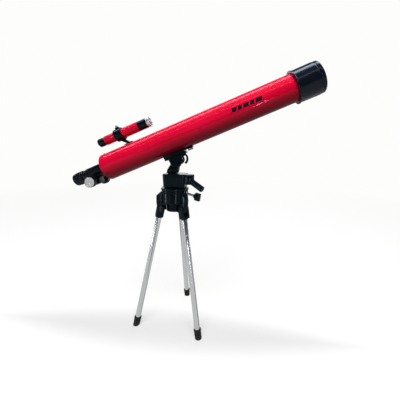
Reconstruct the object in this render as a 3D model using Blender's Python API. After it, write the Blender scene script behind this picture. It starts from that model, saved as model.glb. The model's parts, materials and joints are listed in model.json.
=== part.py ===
"""A small red refracting telescope with a finder, on a pan and tilt head and a three-legged table tripod.

Metres, +Z up. The tube lies in the XZ plane with its front end towards +X, and the pan axis is vertical.
The origin is the middle of the floor rectangle that the whole model covers.
"""

import math

import bmesh
import bpy
from mathutils import Matrix, Vector

# ---------------------------------------------------------------- general fits
GAP = 0.0003  # between pieces that touch
BORE_GAP = 0.0003  # round a shaft or a plug in its bore
WIDE = 32  # sides of a large round piece
MEDIUM = 20
SMALL = 14
TINY = 8
SMOOTH_ANGLE = math.radians(35)

# ---------------------------------------------------------------- tripod
LEG_COUNT = 3
FIRST_LEG_AZIMUTH = math.radians(-158.6)
LEG_HINGE_RADIUS = 0.032  # from the pan axis to a leg's pin
LEG_HINGE_HEIGHT = 0.265
FOOT_CIRCLE_RADIUS = 0.0856  # from the pan axis to a sole
LEG_RADIUS = 0.006
LEG_WALL = 0.0008
FOOT_LENGTH = 0.0184
FOOT_TOP_RADIUS = 0.0079
FOOT_WAIST_RADIUS = 0.0070
FOOT_SOLE_RADIUS = 0.0072
FOOT_SOLE_THICKNESS = 0.004

CAP_WIDTH = 0.020  # along the pin
CAP_DEPTH = 0.018
CAP_ABOVE_PIN = 0.010
CAP_BELOW_PIN = 0.016
CAP_SLOT_FLOOR = 0.0085  # below the pin
CAP_TUBE_DEPTH = 0.0070  # of the leg tube in the cap
CAP_CORNER = 0.0025
PIN_RADIUS = 0.0018
PIN_HEAD_RADIUS = 0.0028
PIN_HEAD_HEIGHT = 0.0007

SHOULDER_RADIUS = 0.0298
SHOULDER_TOP = 0.3088
SHOULDER_BOTTOM = 0.2815
HUB_RADIUS = 0.0185  # the narrower hub between the legs
HUB_BOTTOM = 0.262
SHOULDER_RECESS_RADIUS = 0.0150
SHOULDER_RECESS_TOP = 0.2900
SHOULDER_LIP = 0.0010
LUG_WIDTH = 0.0115
LUG_REACH = 0.0410
LUG_SLOPE_TOP = 0.0115  # drop of the lug's top edge from the shoulder to its outer edge
LUG_TONGUE_RADIUS = 0.0070
COLLAR_RADIUS = 0.0308
COLLAR_HEIGHT = 0.0055

# ---------------------------------------------------------------- pan head
PAN_BOTTOM_GAP = 0.0005
PAN_LENGTH = 0.051
PAN_WIDTH = 0.042
PAN_HEIGHT = 0.031
PAN_SHIFT = 0.0015  # of the casing towards the handle
PAN_CORNER = 0.006
PAN_EDGE = 0.0022
PAN_TAPER = 0.0016  # each side, top to bottom
PAN_BOLT_RADIUS = 0.004
PAN_BOLT_RISE = 0.018  # into the casing
PAN_NUT_RADIUS = 0.0075
PAN_NUT_HEIGHT = 0.005
BOSS_RADIUS = 0.0108
BOSS_REACH = 0.036  # from the pan axis to the boss's own centre
BOSS_AZIMUTH = math.radians(-15)
BOSS_HEIGHT = 0.022

HANDLE_AZIMUTH = math.radians(-28)
HANDLE_SLOPE = math.radians(-25.5)
HANDLE_RADIUS = 0.0068
HANDLE_TIP = 0.0405  # from the boss's centre
HANDLE_START = 0.0095  # its end sits in a round seat in the boss
HANDLE_DROP = 0.0015  # of its axis at the boss's centre, under the boss's middle
STUD_RADIUS = 0.003
STUD_DEPTH = 0.0010  # from the boss's centre, where the stud begins
STUD_GRIP = 0.012  # length inside the grip

LOCK_AZIMUTH = math.radians(-22)
LOCK_SLOPE = math.radians(-10)
LOCK_SHAFT_RADIUS = 0.0028
LOCK_START = 0.0225  # along its axis from the pan axis
LOCK_HEAD_START = 0.0525
LOCK_HEAD_LENGTH = 0.0140
LOCK_BAR_HEIGHT = 0.0172
LOCK_BAR_THICKNESS = 0.0085
LOCK_CROSSING_HEIGHT = 0.3096  # of its axis where it would cross the pan axis

NECK_REAR = -0.0180
NECK_FRONT = 0.0080
NECK_WIDTH = 0.014
NECK_KNUCKLE_RADIUS = 0.0070  # clear of the platform's underside

# ---------------------------------------------------------------- tilt head
TILT_X = 0.0075
TILT_HEIGHT = 0.377
ALTITUDE = math.radians(23.5)
AXIS_RISE = 0.0465  # from the tilt axis up to the tube's axis
KNUCKLE_RADIUS = 0.012
CHEEK_THICKNESS = 0.0052
PLATE_TOP = 0.0115  # above the tilt axis
PLATE_THICKNESS = 0.0040
PLATE_REAR = -0.0275
PLATE_FRONT = 0.0250
PLATE_CORNER = 0.005
TILT_BOLT_RADIUS = 0.003
TILT_NUT_RADIUS = 0.0058
TILT_NUT_HEIGHT = 0.0042
TILT_KNOB_RADIUS = 0.0160
TILT_KNOB_HUB_RADIUS = 0.0090
TILT_KNOB_HUB = 0.0030
TILT_KNOB_THICKNESS = 0.0070
PLATFORM_SCREW_X = 0.0172
PLATFORM_SCREW_RADIUS = 0.0030
PLATFORM_HUB_RADIUS = 0.0042
PLATFORM_HUB_HEIGHT = 0.0045
LEVER_RADIUS = 0.0021

# ---------------------------------------------------------------- telescope tube
TUBE_RADIUS = 0.030
TUBE_WALL = 0.0012
TUBE_REAR = -0.1611  # behind the tilt axis
TUBE_VISIBLE_LENGTH = 0.446  # from the rear rim to the dew hood
TUBE_IN_HOOD = 0.012
TUBE_RIM = 0.0014  # rounding of the rear rim
BLOCK_REAR = -0.0265
BLOCK_FRONT = 0.0230
BLOCK_WIDTH = 0.026
STRAP_FRONT = 0.0425  # the thin tongue of the block, in front of it
STRAP_WIDTH = 0.0140
STRAP_THICKNESS = 0.0020
SADDLE_SCREW_X = 0.0350
SADDLE_SCREW_RADIUS = 0.0020
SADDLE_HEAD_RADIUS = 0.0060
SADDLE_HEAD_HEIGHT = 0.0048

HOOD_RADIUS = 0.0343
HOOD_FLANGE_RADIUS = 0.0356
HOOD_FLANGE_LENGTH = 0.0030
HOOD_LENGTH = 0.0480
HOOD_WALL = 0.0016
CAP_BAND_LENGTH = 0.0078
CAP_BAND_RADIUS = 0.0336
CAP_BAND_ROUND = 0.0022
CAP_PLUG_LENGTH = 0.0060
CAP_PLUG_WALL = 0.0015
CAP_FACE_RECESS_RADIUS = 0.0265
CAP_FACE_RECESS = 0.0012
CELL_LENGTH = 0.014
CELL_LIP = 0.0020
CELL_BORE = 0.0235
LENS_RADIUS = 0.0253
CROWN_THICKNESS = 0.0034
FLINT_THICKNESS = 0.0024
LENS_BULGE = 0.0009
RETAINER_THICKNESS = 0.0016

# ---------------------------------------------------------------- focuser
PLATE_RECESS = 0.0010
BACK_PLATE_THICKNESS = 0.0100
SLEEVE_WALL = 0.0021
SLEEVE_BORE_CLEARANCE = 0.0004
SLEEVE_LENGTH = 0.0490  # behind the tube's rear rim
DRAWTUBE_RADIUS = 0.0120
DRAWTUBE_WALL = 0.0010
DRAWTUBE_LENGTH = 0.092
DRAWTUBE_SHOWN = 0.0085  # behind the sleeve at rest
DRAWTUBE_COLLAR_RISE = 0.0011  # above the drawtube
DRAWTUBE_COLLAR_LENGTH = 0.0050
RACK_WIDTH = 0.0060
RACK_HEIGHT = 0.0022
RACK_TOOTH = 0.0016
RACK_LENGTH = 0.066
RACK_END_MARGIN = 0.0075  # from the drawtube's rear end
PINION_BEHIND_RIM = 0.0346
PINION_PITCH_RADIUS = 0.0042
PINION_TEETH = 12
PINION_WIDTH = 0.0066
PINION_SHAFT_RADIUS = 0.0019
PINION_BLOCK_LENGTH = 0.0190
PINION_BLOCK_WIDTH = 0.0220
PINION_BLOCK_BELOW = 0.0068  # under the pinion's axis
PINION_POCKET_RADIUS = 0.0058
KNOB_RADIUS = 0.0120
KNOB_START = 0.0175  # from the tube's axis plane
KNOB_LENGTH = 0.0140
KNOB_FACE_RADIUS = 0.0112
KNOB_FACE_THICKNESS = 0.0010
KNOB_BORE_DEPTH = 0.0090
COVER_THICKNESS = 0.0016
HOUSING_SCREW_BEHIND = 0.0055  # in front of the rear rim
HOUSING_SCREW_ANGLES = (math.radians(-32), math.radians(90), math.radians(212))
SCREW_RADIUS = 0.0012
SCREW_HEAD_RADIUS = 0.0021
SCREW_HEAD_HEIGHT = 0.0012

EYEPIECE_LENGTH = 0.0245
EYEPIECE_RADIUS = 0.0148
EYEPIECE_REAR_RADIUS = 0.0142
EYEPIECE_BORE = 0.0080
EYEPIECE_CUP_DEPTH = 0.0060
BARREL_LENGTH = 0.0240
BARREL_WALL = 0.0008
EYE_LENS_THICKNESS = 0.0024
EYEPIECE_SCREW_RADIUS = 0.0012
EYEPIECE_SCREW_LENGTH = 0.0100
EYEPIECE_SCREW_HEAD = 0.0034

# ---------------------------------------------------------------- finder
FINDER_RISE = 0.0560  # from the tube's axis to the finder's
FINDER_REAR = -0.1390
FINDER_STEP = -0.1135  # where the wider front section begins
FINDER_FRONT = -0.0540
FINDER_RADIUS = 0.0112
FINDER_REAR_RADIUS = 0.0104
FINDER_WALL = 0.0010
FINDER_CELL_LENGTH = 0.0210
FINDER_CELL_RADIUS = 0.0110
FINDER_RING_LENGTH = 0.0070
FINDER_RING_RADIUS = 0.0119
FINDER_LENS_RADIUS = 0.0096
FINDER_LENS_THICKNESS = 0.0026
FINDER_EYEPIECE_LENGTH = 0.0165
FINDER_EYEPIECE_RADIUS = 0.0096
FINDER_EYEPIECE_PLUG = 0.0120
FINDER_EYEPIECE_BORE = 0.0050
FINDER_EYEPIECE_SHOWN = 0.0004
CLAMP_REAR = -0.1120
CLAMP_FRONT = -0.0930
CLAMP_THICKNESS = 0.0026
CLAMP_BOSS_WIDTH = 0.0080
CLAMP_BOSS_LENGTH = 0.0090
CLAMP_BOSS_HEIGHT = 0.0034
STEM_WIDTH = 0.0080
STEM_THICKNESS = 0.0080
STEM_LEAN = 0.0130  # how far forward the stem's foot stands
STEM_BASE_LENGTH = 0.0200
STEM_BASE_THICKNESS = 0.0016
CLAMP_SCREW_LENGTH = 0.0040
CLAMP_SCREW_HEAD_RADIUS = 0.0030
STOP_SCREW_X = -0.1172
STOP_SCREW_RADIUS = 0.0019

# ---------------------------------------------------------------- derived places
LEG_SPREAD = math.atan2(FOOT_CIRCLE_RADIUS - LEG_HINGE_RADIUS, LEG_HINGE_HEIGHT)
LEG_LENGTH = math.hypot(FOOT_CIRCLE_RADIUS - LEG_HINGE_RADIUS, LEG_HINGE_HEIGHT)
COLLAR_BOTTOM = SHOULDER_TOP + GAP
COLLAR_TOP = COLLAR_BOTTOM + COLLAR_HEIGHT
PAN_BOTTOM = COLLAR_TOP + PAN_BOTTOM_GAP
PAN_TOP = PAN_BOTTOM + PAN_HEIGHT
BOSS_TOP = PAN_TOP - GAP
CHEEK_INNER = NECK_WIDTH / 2 + GAP
CHEEK_OUTER = CHEEK_INNER + CHEEK_THICKNESS
TUBE_FRONT = TUBE_REAR + TUBE_VISIBLE_LENGTH + TUBE_IN_HOOD
HOOD_REAR = TUBE_REAR + TUBE_VISIBLE_LENGTH
HOOD_FRONT = HOOD_REAR + HOOD_LENGTH
HOOD_BORE = HOOD_RADIUS - HOOD_WALL
TUBE_BORE = TUBE_RADIUS - TUBE_WALL
DRAWTUBE_BORE = DRAWTUBE_RADIUS - DRAWTUBE_WALL
SLEEVE_BORE = DRAWTUBE_RADIUS + SLEEVE_BORE_CLEARANCE
SLEEVE_RADIUS = SLEEVE_BORE + SLEEVE_WALL
DRAWTUBE_COLLAR_RADIUS = DRAWTUBE_RADIUS + DRAWTUBE_COLLAR_RISE
SLEEVE_REAR = TUBE_REAR - SLEEVE_LENGTH
DRAWTUBE_REAR = SLEEVE_REAR - DRAWTUBE_SHOWN
RACK_BOTTOM = -DRAWTUBE_RADIUS - RACK_HEIGHT
PINION_X = TUBE_REAR - PINION_BEHIND_RIM
PINION_Z = RACK_BOTTOM - RACK_TOOTH / 2 - PINION_PITCH_RADIUS
PINION_BLOCK_BOTTOM = PINION_Z - PINION_BLOCK_BELOW
BARREL_RADIUS = DRAWTUBE_BORE - BORE_GAP
FINDER_BORE = FINDER_REAR_RADIUS - FINDER_WALL


# ---------------------------------------------------------------- materials
def material(name, colour, roughness, metallic=0.0):
    made = bpy.data.materials.new(name)
    made.use_nodes = True
    shader = made.node_tree.nodes["Principled BSDF"]
    shader.inputs["Base Color"].default_value = (*colour, 1.0)
    shader.inputs["Roughness"].default_value = roughness
    shader.inputs["Metallic"].default_value = metallic
    made.diffuse_color = (*colour, 1.0)
    return made


def make_materials():
    return {
        "red": material("red_paint", (0.62, 0.005, 0.04), 0.22),
        "hood": material("gloss_black", (0.012, 0.012, 0.014), 0.18),
        "black": material("black_plastic", (0.018, 0.019, 0.022), 0.42),
        "chrome": material("chrome", (0.72, 0.73, 0.74), 0.12, 1.0),
        "spun": material("spun_aluminium", (0.78, 0.79, 0.80), 0.28, 1.0),
        "steel": material("steel", (0.42, 0.42, 0.43), 0.35, 1.0),
        "brass": material("brass", (0.62, 0.46, 0.20), 0.30, 1.0),
        "rubber": material("rubber", (0.015, 0.015, 0.015), 0.75),
        "glass": material("coated_glass", (0.55, 0.62, 0.72), 0.04),
    }


# ---------------------------------------------------------------- shape helpers
def mesh_object(name, bm, finish, parent=None, place=None):
    """Turns a bmesh into an object, shaded smooth, at a place in its parent's frame."""
    bmesh.ops.recalc_face_normals(bm, faces=bm.faces)
    mesh = bpy.data.meshes.new(name)
    bm.to_mesh(mesh)
    bm.free()
    mesh.shade_smooth()
    mesh.set_sharp_from_angle(angle=SMOOTH_ANGLE)
    obj = bpy.data.objects.new(name, mesh)
    bpy.context.scene.collection.objects.link(obj)
    if finish is not None:
        mesh.materials.append(finish)
    obj.parent = parent
    if place is not None:
        obj.matrix_local = place
    return obj


def frame(name, parent, place):
    """An empty that carries a body, on its joint's axis."""
    empty = bpy.data.objects.new(name, None)
    empty.empty_display_size = 0.01
    bpy.context.scene.collection.objects.link(empty)
    empty.parent = parent
    empty.matrix_local = place
    return empty


def at(x=0.0, y=0.0, z=0.0):
    return Matrix.Translation((x, y, z))


def turn(degrees, axis):
    return Matrix.Rotation(math.radians(degrees), 4, axis)


ALONG_X = turn(90, "Y")
ALONG_Y = turn(-90, "X")
ALONG_MINUS_Y = turn(90, "X")


def aimed(origin, direction):
    """A place at origin whose Z axis points along direction."""
    return Matrix.Translation(origin) @ Vector(direction).to_track_quat("Z", "Y").to_matrix().to_4x4()


def turned_mesh(outline, segments, closed=False):
    """A body of revolution about Z from (radius, height) points; closed joins the last point to the first."""
    bm = bmesh.new()
    rings = []
    for radius, height in outline:
        if radius <= 0:
            rings.append([bm.verts.new((0, 0, height))])
            continue
        angles = [2 * math.pi * step / segments for step in range(segments)]
        rings.append([bm.verts.new((radius * math.cos(a), radius * math.sin(a), height)) for a in angles])
    following = rings[1:] + (rings[:1] if closed else [])
    for low, high in zip(rings, following):
        for step in range(segments):
            after = (step + 1) % segments
            corners = [low[step % len(low)], low[after % len(low)]]
            corners += [high[after % len(high)], high[step % len(high)]]
            bm.faces.new(list(dict.fromkeys(corners)))
    return bm


def turned(name, outline, finish, parent, place, segments=MEDIUM, closed=False):
    return mesh_object(name, turned_mesh(outline, segments, closed), finish, parent, place)


def rod_outline(radius, start, end, chamfer=0.0):
    if chamfer <= 0:
        return [(0, start), (radius, start), (radius, end), (0, end)]
    return [
        (0, start),
        (radius - chamfer, start),
        (radius, start + chamfer),
        (radius, end - chamfer),
        (radius - chamfer, end),
        (0, end),
    ]


def pipe_outline(outer, inner, start, end):
    return [(inner, start), (outer, start), (outer, end), (inner, end)]


def arc(centre_r, centre_h, radius, start, end, steps):
    """Points (r, h) on an arc; angles in degrees from the +r direction towards +h."""
    angles = [math.radians(start + (end - start) * step / steps) for step in range(steps + 1)]
    return [(centre_r + radius * math.cos(a), centre_h + radius * math.sin(a)) for a in angles]


def prism_mesh(outline, low, high):
    """An outline in XZ extruded along Y from low to high."""
    bm = bmesh.new()
    near = [bm.verts.new((x, low, z)) for x, z in outline]
    far = [bm.verts.new((x, high, z)) for x, z in outline]
    bm.faces.new(near)
    bm.faces.new(far)
    count = len(outline)
    for step in range(count):
        after = (step + 1) % count
        bm.faces.new([near[step], near[after], far[after], far[step]])
    return bm


def box_mesh(low, high, edge=0.0, vertical=0.0):
    """A box between two corners. vertical rounds its upright edges, and edge bevels the others."""
    bm = bmesh.new()
    bmesh.ops.create_cube(bm, size=1.0)
    size = Vector(high) - Vector(low)
    middle = (Vector(high) + Vector(low)) / 2
    bmesh.ops.transform(bm, matrix=Matrix.Translation(middle) @ Matrix.Diagonal((*size, 1)), verts=bm.verts)
    if vertical > 0:
        upright = [e for e in bm.edges if abs((e.verts[0].co - e.verts[1].co).z) > size.z / 2]
        bmesh.ops.bevel(bm, geom=upright, offset=vertical, segments=3, profile=0.5, affect="EDGES")
    if edge > 0:
        flat = [e for e in bm.edges if abs((e.verts[0].co - e.verts[1].co).z) < size.z / 1000]
        bmesh.ops.bevel(bm, geom=flat, offset=edge, segments=1, profile=0.5, affect="EDGES")
    return bm


def helper(obj):
    """Marks a cutter or a joined-on shape, which isn't a piece of its own."""
    obj.hide_render = True
    obj.display_type = "WIRE"
    return obj


def combine(obj, operation, others):
    for number, other in enumerate(others):
        helper(other)
        step = obj.modifiers.new(f"{operation.lower()}_{number}", "BOOLEAN")
        step.operation = operation
        step.object = other
        step.solver = "EXACT"


def cut(obj, *cutters):
    combine(obj, "DIFFERENCE", cutters)


def join(obj, *others):
    combine(obj, "UNION", others)


def cutter_rod(name, radius, start, end, parent, place, segments=SMALL):
    return turned(name, rod_outline(radius, start, end), None, parent, place, segments)


# ---------------------------------------------------------------- tripod
def leg_place(number):
    azimuth = FIRST_LEG_AZIMUTH + number * 2 * math.pi / LEG_COUNT
    return Matrix.Rotation(azimuth, 4, "Z") @ at(LEG_HINGE_RADIUS, 0, LEG_HINGE_HEIGHT)


def lug_outline():
    """One lug in its leg's frame, origin on the pin: from the shoulder's wall out, then down round it."""
    root = -LEG_HINGE_RADIUS + HUB_RADIUS / 2
    reach = LUG_REACH - LEG_HINGE_RADIUS
    wall = SHOULDER_RADIUS - LEG_HINGE_RADIUS
    top = SHOULDER_TOP - LEG_HINGE_HEIGHT - SHOULDER_LIP
    under = SHOULDER_BOTTOM - LEG_HINGE_HEIGHT
    tongue = arc(0, 0, LUG_TONGUE_RADIUS, 0, -180, 8)
    return [(root, top), (wall, top), (reach, top - LUG_SLOPE_TOP), (reach, under), *tongue, (root, 0)]


def make_shoulder(root, mats):
    recess = SHOULDER_RECESS_RADIUS
    bore = PAN_BOLT_RADIUS + BORE_GAP
    outline = [
        (bore, SHOULDER_TOP),
        (bore, SHOULDER_RECESS_TOP),
        (recess, SHOULDER_RECESS_TOP),
        (recess, HUB_BOTTOM),
        (HUB_RADIUS - SHOULDER_LIP, HUB_BOTTOM),
        (HUB_RADIUS, HUB_BOTTOM + SHOULDER_LIP),
        (HUB_RADIUS, SHOULDER_BOTTOM),
        (SHOULDER_RADIUS + SHOULDER_LIP, SHOULDER_BOTTOM),
        (SHOULDER_RADIUS + SHOULDER_LIP, SHOULDER_BOTTOM + 2 * SHOULDER_LIP),
        (SHOULDER_RADIUS, SHOULDER_BOTTOM + 3 * SHOULDER_LIP),
        (SHOULDER_RADIUS, SHOULDER_TOP - SHOULDER_LIP),
        (SHOULDER_RADIUS - SHOULDER_LIP, SHOULDER_TOP),
    ]
    shoulder = turned("tripod_shoulder", outline, mats["black"], root, at(), WIDE, closed=True)
    cutters = []
    for number in range(LEG_COUNT):
        place = leg_place(number)
        half = LUG_WIDTH / 2
        lug = mesh_object(f"lug_{number}", prism_mesh(lug_outline(), -half, half), None, root, place)
        join(shoulder, lug)
        bore_length = CAP_WIDTH
        pin_bore = cutter_rod(
            f"pin_bore_{number}",
            PIN_RADIUS + BORE_GAP,
            -bore_length,
            bore_length,
            root,
            place @ ALONG_Y,
            TINY,
        )
        cutters.append(pin_bore)
    well = cutter_rod("nut_well", recess, HUB_BOTTOM - recess, SHOULDER_RECESS_TOP, root, at(), MEDIUM)
    lock_bore = cutter_rod(
        "lock_bore",
        LOCK_SHAFT_RADIUS + BORE_GAP,
        LOCK_START - GAP,
        LOCK_HEAD_START,
        root,
        lock_place(),
        SMALL,
    )
    cut(shoulder, well, lock_bore, *cutters)
    collar = [
        (bore, COLLAR_BOTTOM),
        (COLLAR_RADIUS - SHOULDER_LIP, COLLAR_BOTTOM),
        (COLLAR_RADIUS, COLLAR_BOTTOM + SHOULDER_LIP),
        (COLLAR_RADIUS, COLLAR_TOP - SHOULDER_LIP),
        (COLLAR_RADIUS - SHOULDER_LIP, COLLAR_TOP),
        (bore, COLLAR_TOP),
    ]
    turned("pan_collar", collar, mats["black"], root, at(), WIDE, closed=True)
    return shoulder


def make_leg(number, root, mats):
    hinge = frame(f"leg_{number + 1}_axis", root, leg_place(number) @ Matrix.Rotation(-LEG_SPREAD, 4, "Y"))
    half_width = CAP_WIDTH / 2
    half_depth = CAP_DEPTH / 2
    body = box_mesh(
        (-half_depth, -half_width, -CAP_BELOW_PIN),
        (half_depth, half_width, CAP_ABOVE_PIN),
        0.0012,
        CAP_CORNER,
    )
    cap = mesh_object(f"leg_{number + 1}_cap", body, mats["black"], hinge, at())
    slot_half = LUG_WIDTH / 2 + GAP
    reach = 2 * CAP_DEPTH
    slot = mesh_object(
        f"slot_{number}",
        box_mesh((-reach, -slot_half, -CAP_SLOT_FLOOR), (reach, slot_half, 2 * CAP_ABOVE_PIN)),
        None,
        hinge,
        at(),
    )
    pin_bore = cutter_rod(
        f"cap_pin_bore_{number}", PIN_RADIUS + BORE_GAP, -CAP_WIDTH, CAP_WIDTH, hinge, ALONG_Y, TINY
    )
    tube_top = -CAP_BELOW_PIN + CAP_TUBE_DEPTH
    tube_bore = cutter_rod(
        f"cap_tube_bore_{number}",
        LEG_RADIUS + BORE_GAP,
        -2 * CAP_BELOW_PIN,
        tube_top + GAP,
        hinge,
        at(),
        SMALL,
    )
    cut(cap, slot, pin_bore, tube_bore)
    tube_end = -LEG_LENGTH + FOOT_SOLE_THICKNESS + GAP
    turned(
        f"leg_{number + 1}_tube",
        pipe_outline(LEG_RADIUS, LEG_RADIUS - LEG_WALL, tube_end, tube_top),
        mats["chrome"],
        hinge,
        at(),
        SMALL,
        closed=True,
    )
    make_foot(number, hinge, mats)
    pin = [
        (0, -half_width - GAP - PIN_HEAD_HEIGHT),
        (PIN_HEAD_RADIUS, -half_width - GAP - PIN_HEAD_HEIGHT),
        (PIN_HEAD_RADIUS, -half_width - GAP),
        (PIN_RADIUS, -half_width - GAP),
        (PIN_RADIUS, half_width + GAP),
        (PIN_HEAD_RADIUS, half_width + GAP),
        (PIN_HEAD_RADIUS, half_width + GAP + PIN_HEAD_HEIGHT),
        (0, half_width + GAP + PIN_HEAD_HEIGHT),
    ]
    turned(f"leg_{number + 1}_pin", pin, mats["steel"], root, leg_place(number) @ ALONG_Y, TINY)
    return hinge


def make_foot(number, hinge, mats):
    """A rubber tip whose sole is cut flat, level with the floor."""
    top = -LEG_LENGTH + FOOT_LENGTH
    floor = -LEG_LENGTH + FOOT_SOLE_THICKNESS
    bore = LEG_RADIUS + BORE_GAP
    below = -LEG_LENGTH - FOOT_SOLE_RADIUS * math.tan(LEG_SPREAD) - GAP
    outline = [
        (0, floor),
        (bore, floor),
        (bore, top),
        (FOOT_TOP_RADIUS, top),
        (FOOT_TOP_RADIUS, top - 0.0030),
        (FOOT_WAIST_RADIUS, top - 0.0045),
        (FOOT_WAIST_RADIUS, -LEG_LENGTH + 0.0050),
        (FOOT_SOLE_RADIUS, -LEG_LENGTH + 0.0035),
        (FOOT_SOLE_RADIUS, below),
        (0, below),
    ]
    bm = turned_mesh(outline, SMALL)
    sole_normal = Vector((-math.sin(LEG_SPREAD), 0, -math.cos(LEG_SPREAD)))
    sole = bmesh.ops.bisect_plane(
        bm,
        geom=bm.verts[:] + bm.edges[:] + bm.faces[:],
        plane_co=(0, 0, -LEG_LENGTH),
        plane_no=sole_normal,
        clear_outer=True,
    )
    rim = [item for item in sole["geom_cut"] if isinstance(item, bmesh.types.BMEdge)]
    bmesh.ops.edgeloop_fill(bm, edges=rim)
    mesh_object(f"leg_{number + 1}_foot", bm, mats["rubber"], hinge, at())


def lock_place():
    """The pan lock's axis: out of the shoulder towards the near right, sloping down a little."""
    flat = math.cos(LOCK_SLOPE)
    direction = (flat * math.cos(LOCK_AZIMUTH), flat * math.sin(LOCK_AZIMUTH), math.sin(LOCK_SLOPE))
    return aimed((0, 0, LOCK_CROSSING_HEIGHT), direction)


def make_pan_lock(root, mats):
    axis = frame("pan_lock_axis", root, lock_place())
    shaft_end = LOCK_HEAD_START + LOCK_HEAD_LENGTH * 0.6
    turned(
        "pan_lock_screw",
        rod_outline(LOCK_SHAFT_RADIUS, LOCK_START, shaft_end, 0.0004),
        mats["chrome"],
        axis,
        at(),
        SMALL,
    )
    half_bar = LOCK_BAR_HEIGHT / 2
    half_thick = LOCK_BAR_THICKNESS / 2
    hub_radius = LOCK_SHAFT_RADIUS + 0.0024
    head = turned(
        "pan_lock_knob",
        rod_outline(hub_radius, LOCK_HEAD_START, LOCK_HEAD_START + LOCK_HEAD_LENGTH, 0.0008),
        mats["black"],
        axis,
        at(),
        SMALL,
    )
    bar_start = LOCK_HEAD_START + 0.0024
    bar = box_mesh(
        (-half_thick, -half_bar, bar_start),
        (half_thick, half_bar, LOCK_HEAD_START + LOCK_HEAD_LENGTH + 0.0006),
        0.0010,
        0.0020,
    )
    join(head, mesh_object("lock_bar", bar, None, axis, at()))
    cut(
        head,
        cutter_rod(
            "lock_head_bore",
            LOCK_SHAFT_RADIUS + BORE_GAP,
            LOCK_HEAD_START - 0.01,
            shaft_end + GAP,
            axis,
            at(),
            SMALL,
        ),
    )
    return axis


# ---------------------------------------------------------------- pan head
def handle_place():
    flat = math.cos(HANDLE_SLOPE)
    direction = (flat * math.cos(HANDLE_AZIMUTH), flat * math.sin(HANDLE_AZIMUTH), math.sin(HANDLE_SLOPE))
    height = BOSS_TOP - BOSS_HEIGHT / 2 - HANDLE_DROP
    x = BOSS_REACH * math.cos(BOSS_AZIMUTH)
    y = BOSS_REACH * math.sin(BOSS_AZIMUTH)
    return aimed((x, y, height), direction)


def make_pan_body(pan, mats):
    low = (PAN_SHIFT - PAN_LENGTH / 2, -PAN_WIDTH / 2, PAN_BOTTOM)
    high = (PAN_SHIFT + PAN_LENGTH / 2, PAN_WIDTH / 2, PAN_TOP)
    bm = box_mesh(low, high, PAN_EDGE, PAN_CORNER)
    for vert in bm.verts:
        drop = (PAN_TOP - vert.co.z) / PAN_HEIGHT
        vert.co.x -= math.copysign(PAN_TAPER * drop, vert.co.x - PAN_SHIFT)
        vert.co.y -= math.copysign(PAN_TAPER * drop, vert.co.y)
    body = mesh_object("pan_body", bm, mats["black"], pan, at())
    boss_bottom = BOSS_TOP - BOSS_HEIGHT
    outwards = Matrix.Rotation(BOSS_AZIMUTH, 4, "Z")
    boss = turned(
        "boss", rod_outline(BOSS_RADIUS, boss_bottom, BOSS_TOP, 0.0012), None, pan, outwards @ at(BOSS_REACH)
    )
    bridge = mesh_object(
        "boss_bridge",
        box_mesh((0, -BOSS_RADIUS, boss_bottom + GAP), (BOSS_REACH, BOSS_RADIUS, BOSS_TOP - GAP)),
        None,
        pan,
        outwards,
    )
    join(body, bridge, boss)
    bolt_top = PAN_BOTTOM + PAN_BOLT_RISE
    bolt_bore = cutter_rod(
        "bolt_bore", PAN_BOLT_RADIUS + BORE_GAP, PAN_BOTTOM - 0.01, bolt_top + GAP, pan, at(), SMALL
    )
    stud_bore = cutter_rod(
        "stud_bore", STUD_RADIUS + BORE_GAP, STUD_DEPTH - GAP, HANDLE_START + 0.01, pan, handle_place(), SMALL
    )
    seat = cutter_rod(
        "grip_seat", HANDLE_RADIUS + BORE_GAP, HANDLE_START - GAP, 2 * HANDLE_TIP, pan, handle_place(), SMALL
    )
    cut(body, bolt_bore, stud_bore, seat)
    nut_top = SHOULDER_RECESS_TOP - GAP
    nut_bottom = nut_top - PAN_NUT_HEIGHT
    bolt = turned(
        "pan_pivot_bolt",
        rod_outline(PAN_BOLT_RADIUS, nut_bottom - 0.002, bolt_top, 0.0004),
        mats["steel"],
        pan,
        at(),
        SMALL,
    )
    join(bolt, turned("pan_nut", rod_outline(PAN_NUT_RADIUS, nut_bottom, nut_top), None, pan, at(), 6))


def make_handle(pan, mats):
    axis = frame("pan_handle_axis", pan, handle_place())
    turned(
        "pan_handle_stud",
        rod_outline(STUD_RADIUS, STUD_DEPTH, HANDLE_START + STUD_GRIP, 0.0004),
        mats["steel"],
        axis,
        at(),
        SMALL,
    )
    radius = HANDLE_RADIUS
    round_end = 0.0020
    outline = [
        (0, HANDLE_START + STUD_GRIP + GAP),
        (STUD_RADIUS + BORE_GAP, HANDLE_START + STUD_GRIP + GAP),
        (STUD_RADIUS + BORE_GAP, HANDLE_START),
        (radius - 0.0012, HANDLE_START),
        (radius, HANDLE_START + 0.0012),
        *arc(radius - round_end, HANDLE_TIP - round_end, round_end, 0, 90, 4),
        (0, HANDLE_TIP),
    ]
    turned("pan_handle_grip", outline, mats["black"], axis, at(), SMALL)
    return axis


def neck_outline():
    """The neck in the tilt axis's frame, level: a foot on the casing, leaning up to the knuckle."""
    foot = PAN_TOP + GAP - TILT_HEIGHT
    rear = NECK_REAR - TILT_X
    front = NECK_FRONT - TILT_X
    radius = NECK_KNUCKLE_RADIUS
    height = -foot
    return [
        (rear, foot),
        (front, foot),
        (front + 0.22 * (radius - front), -0.55 * height),
        *arc(0, 0, radius, -20, 150, 12),
        (rear * 0.51, -0.21 * height),
        (rear * 0.72, -0.44 * height),
        (rear * 0.94, -0.74 * height),
    ]


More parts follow.
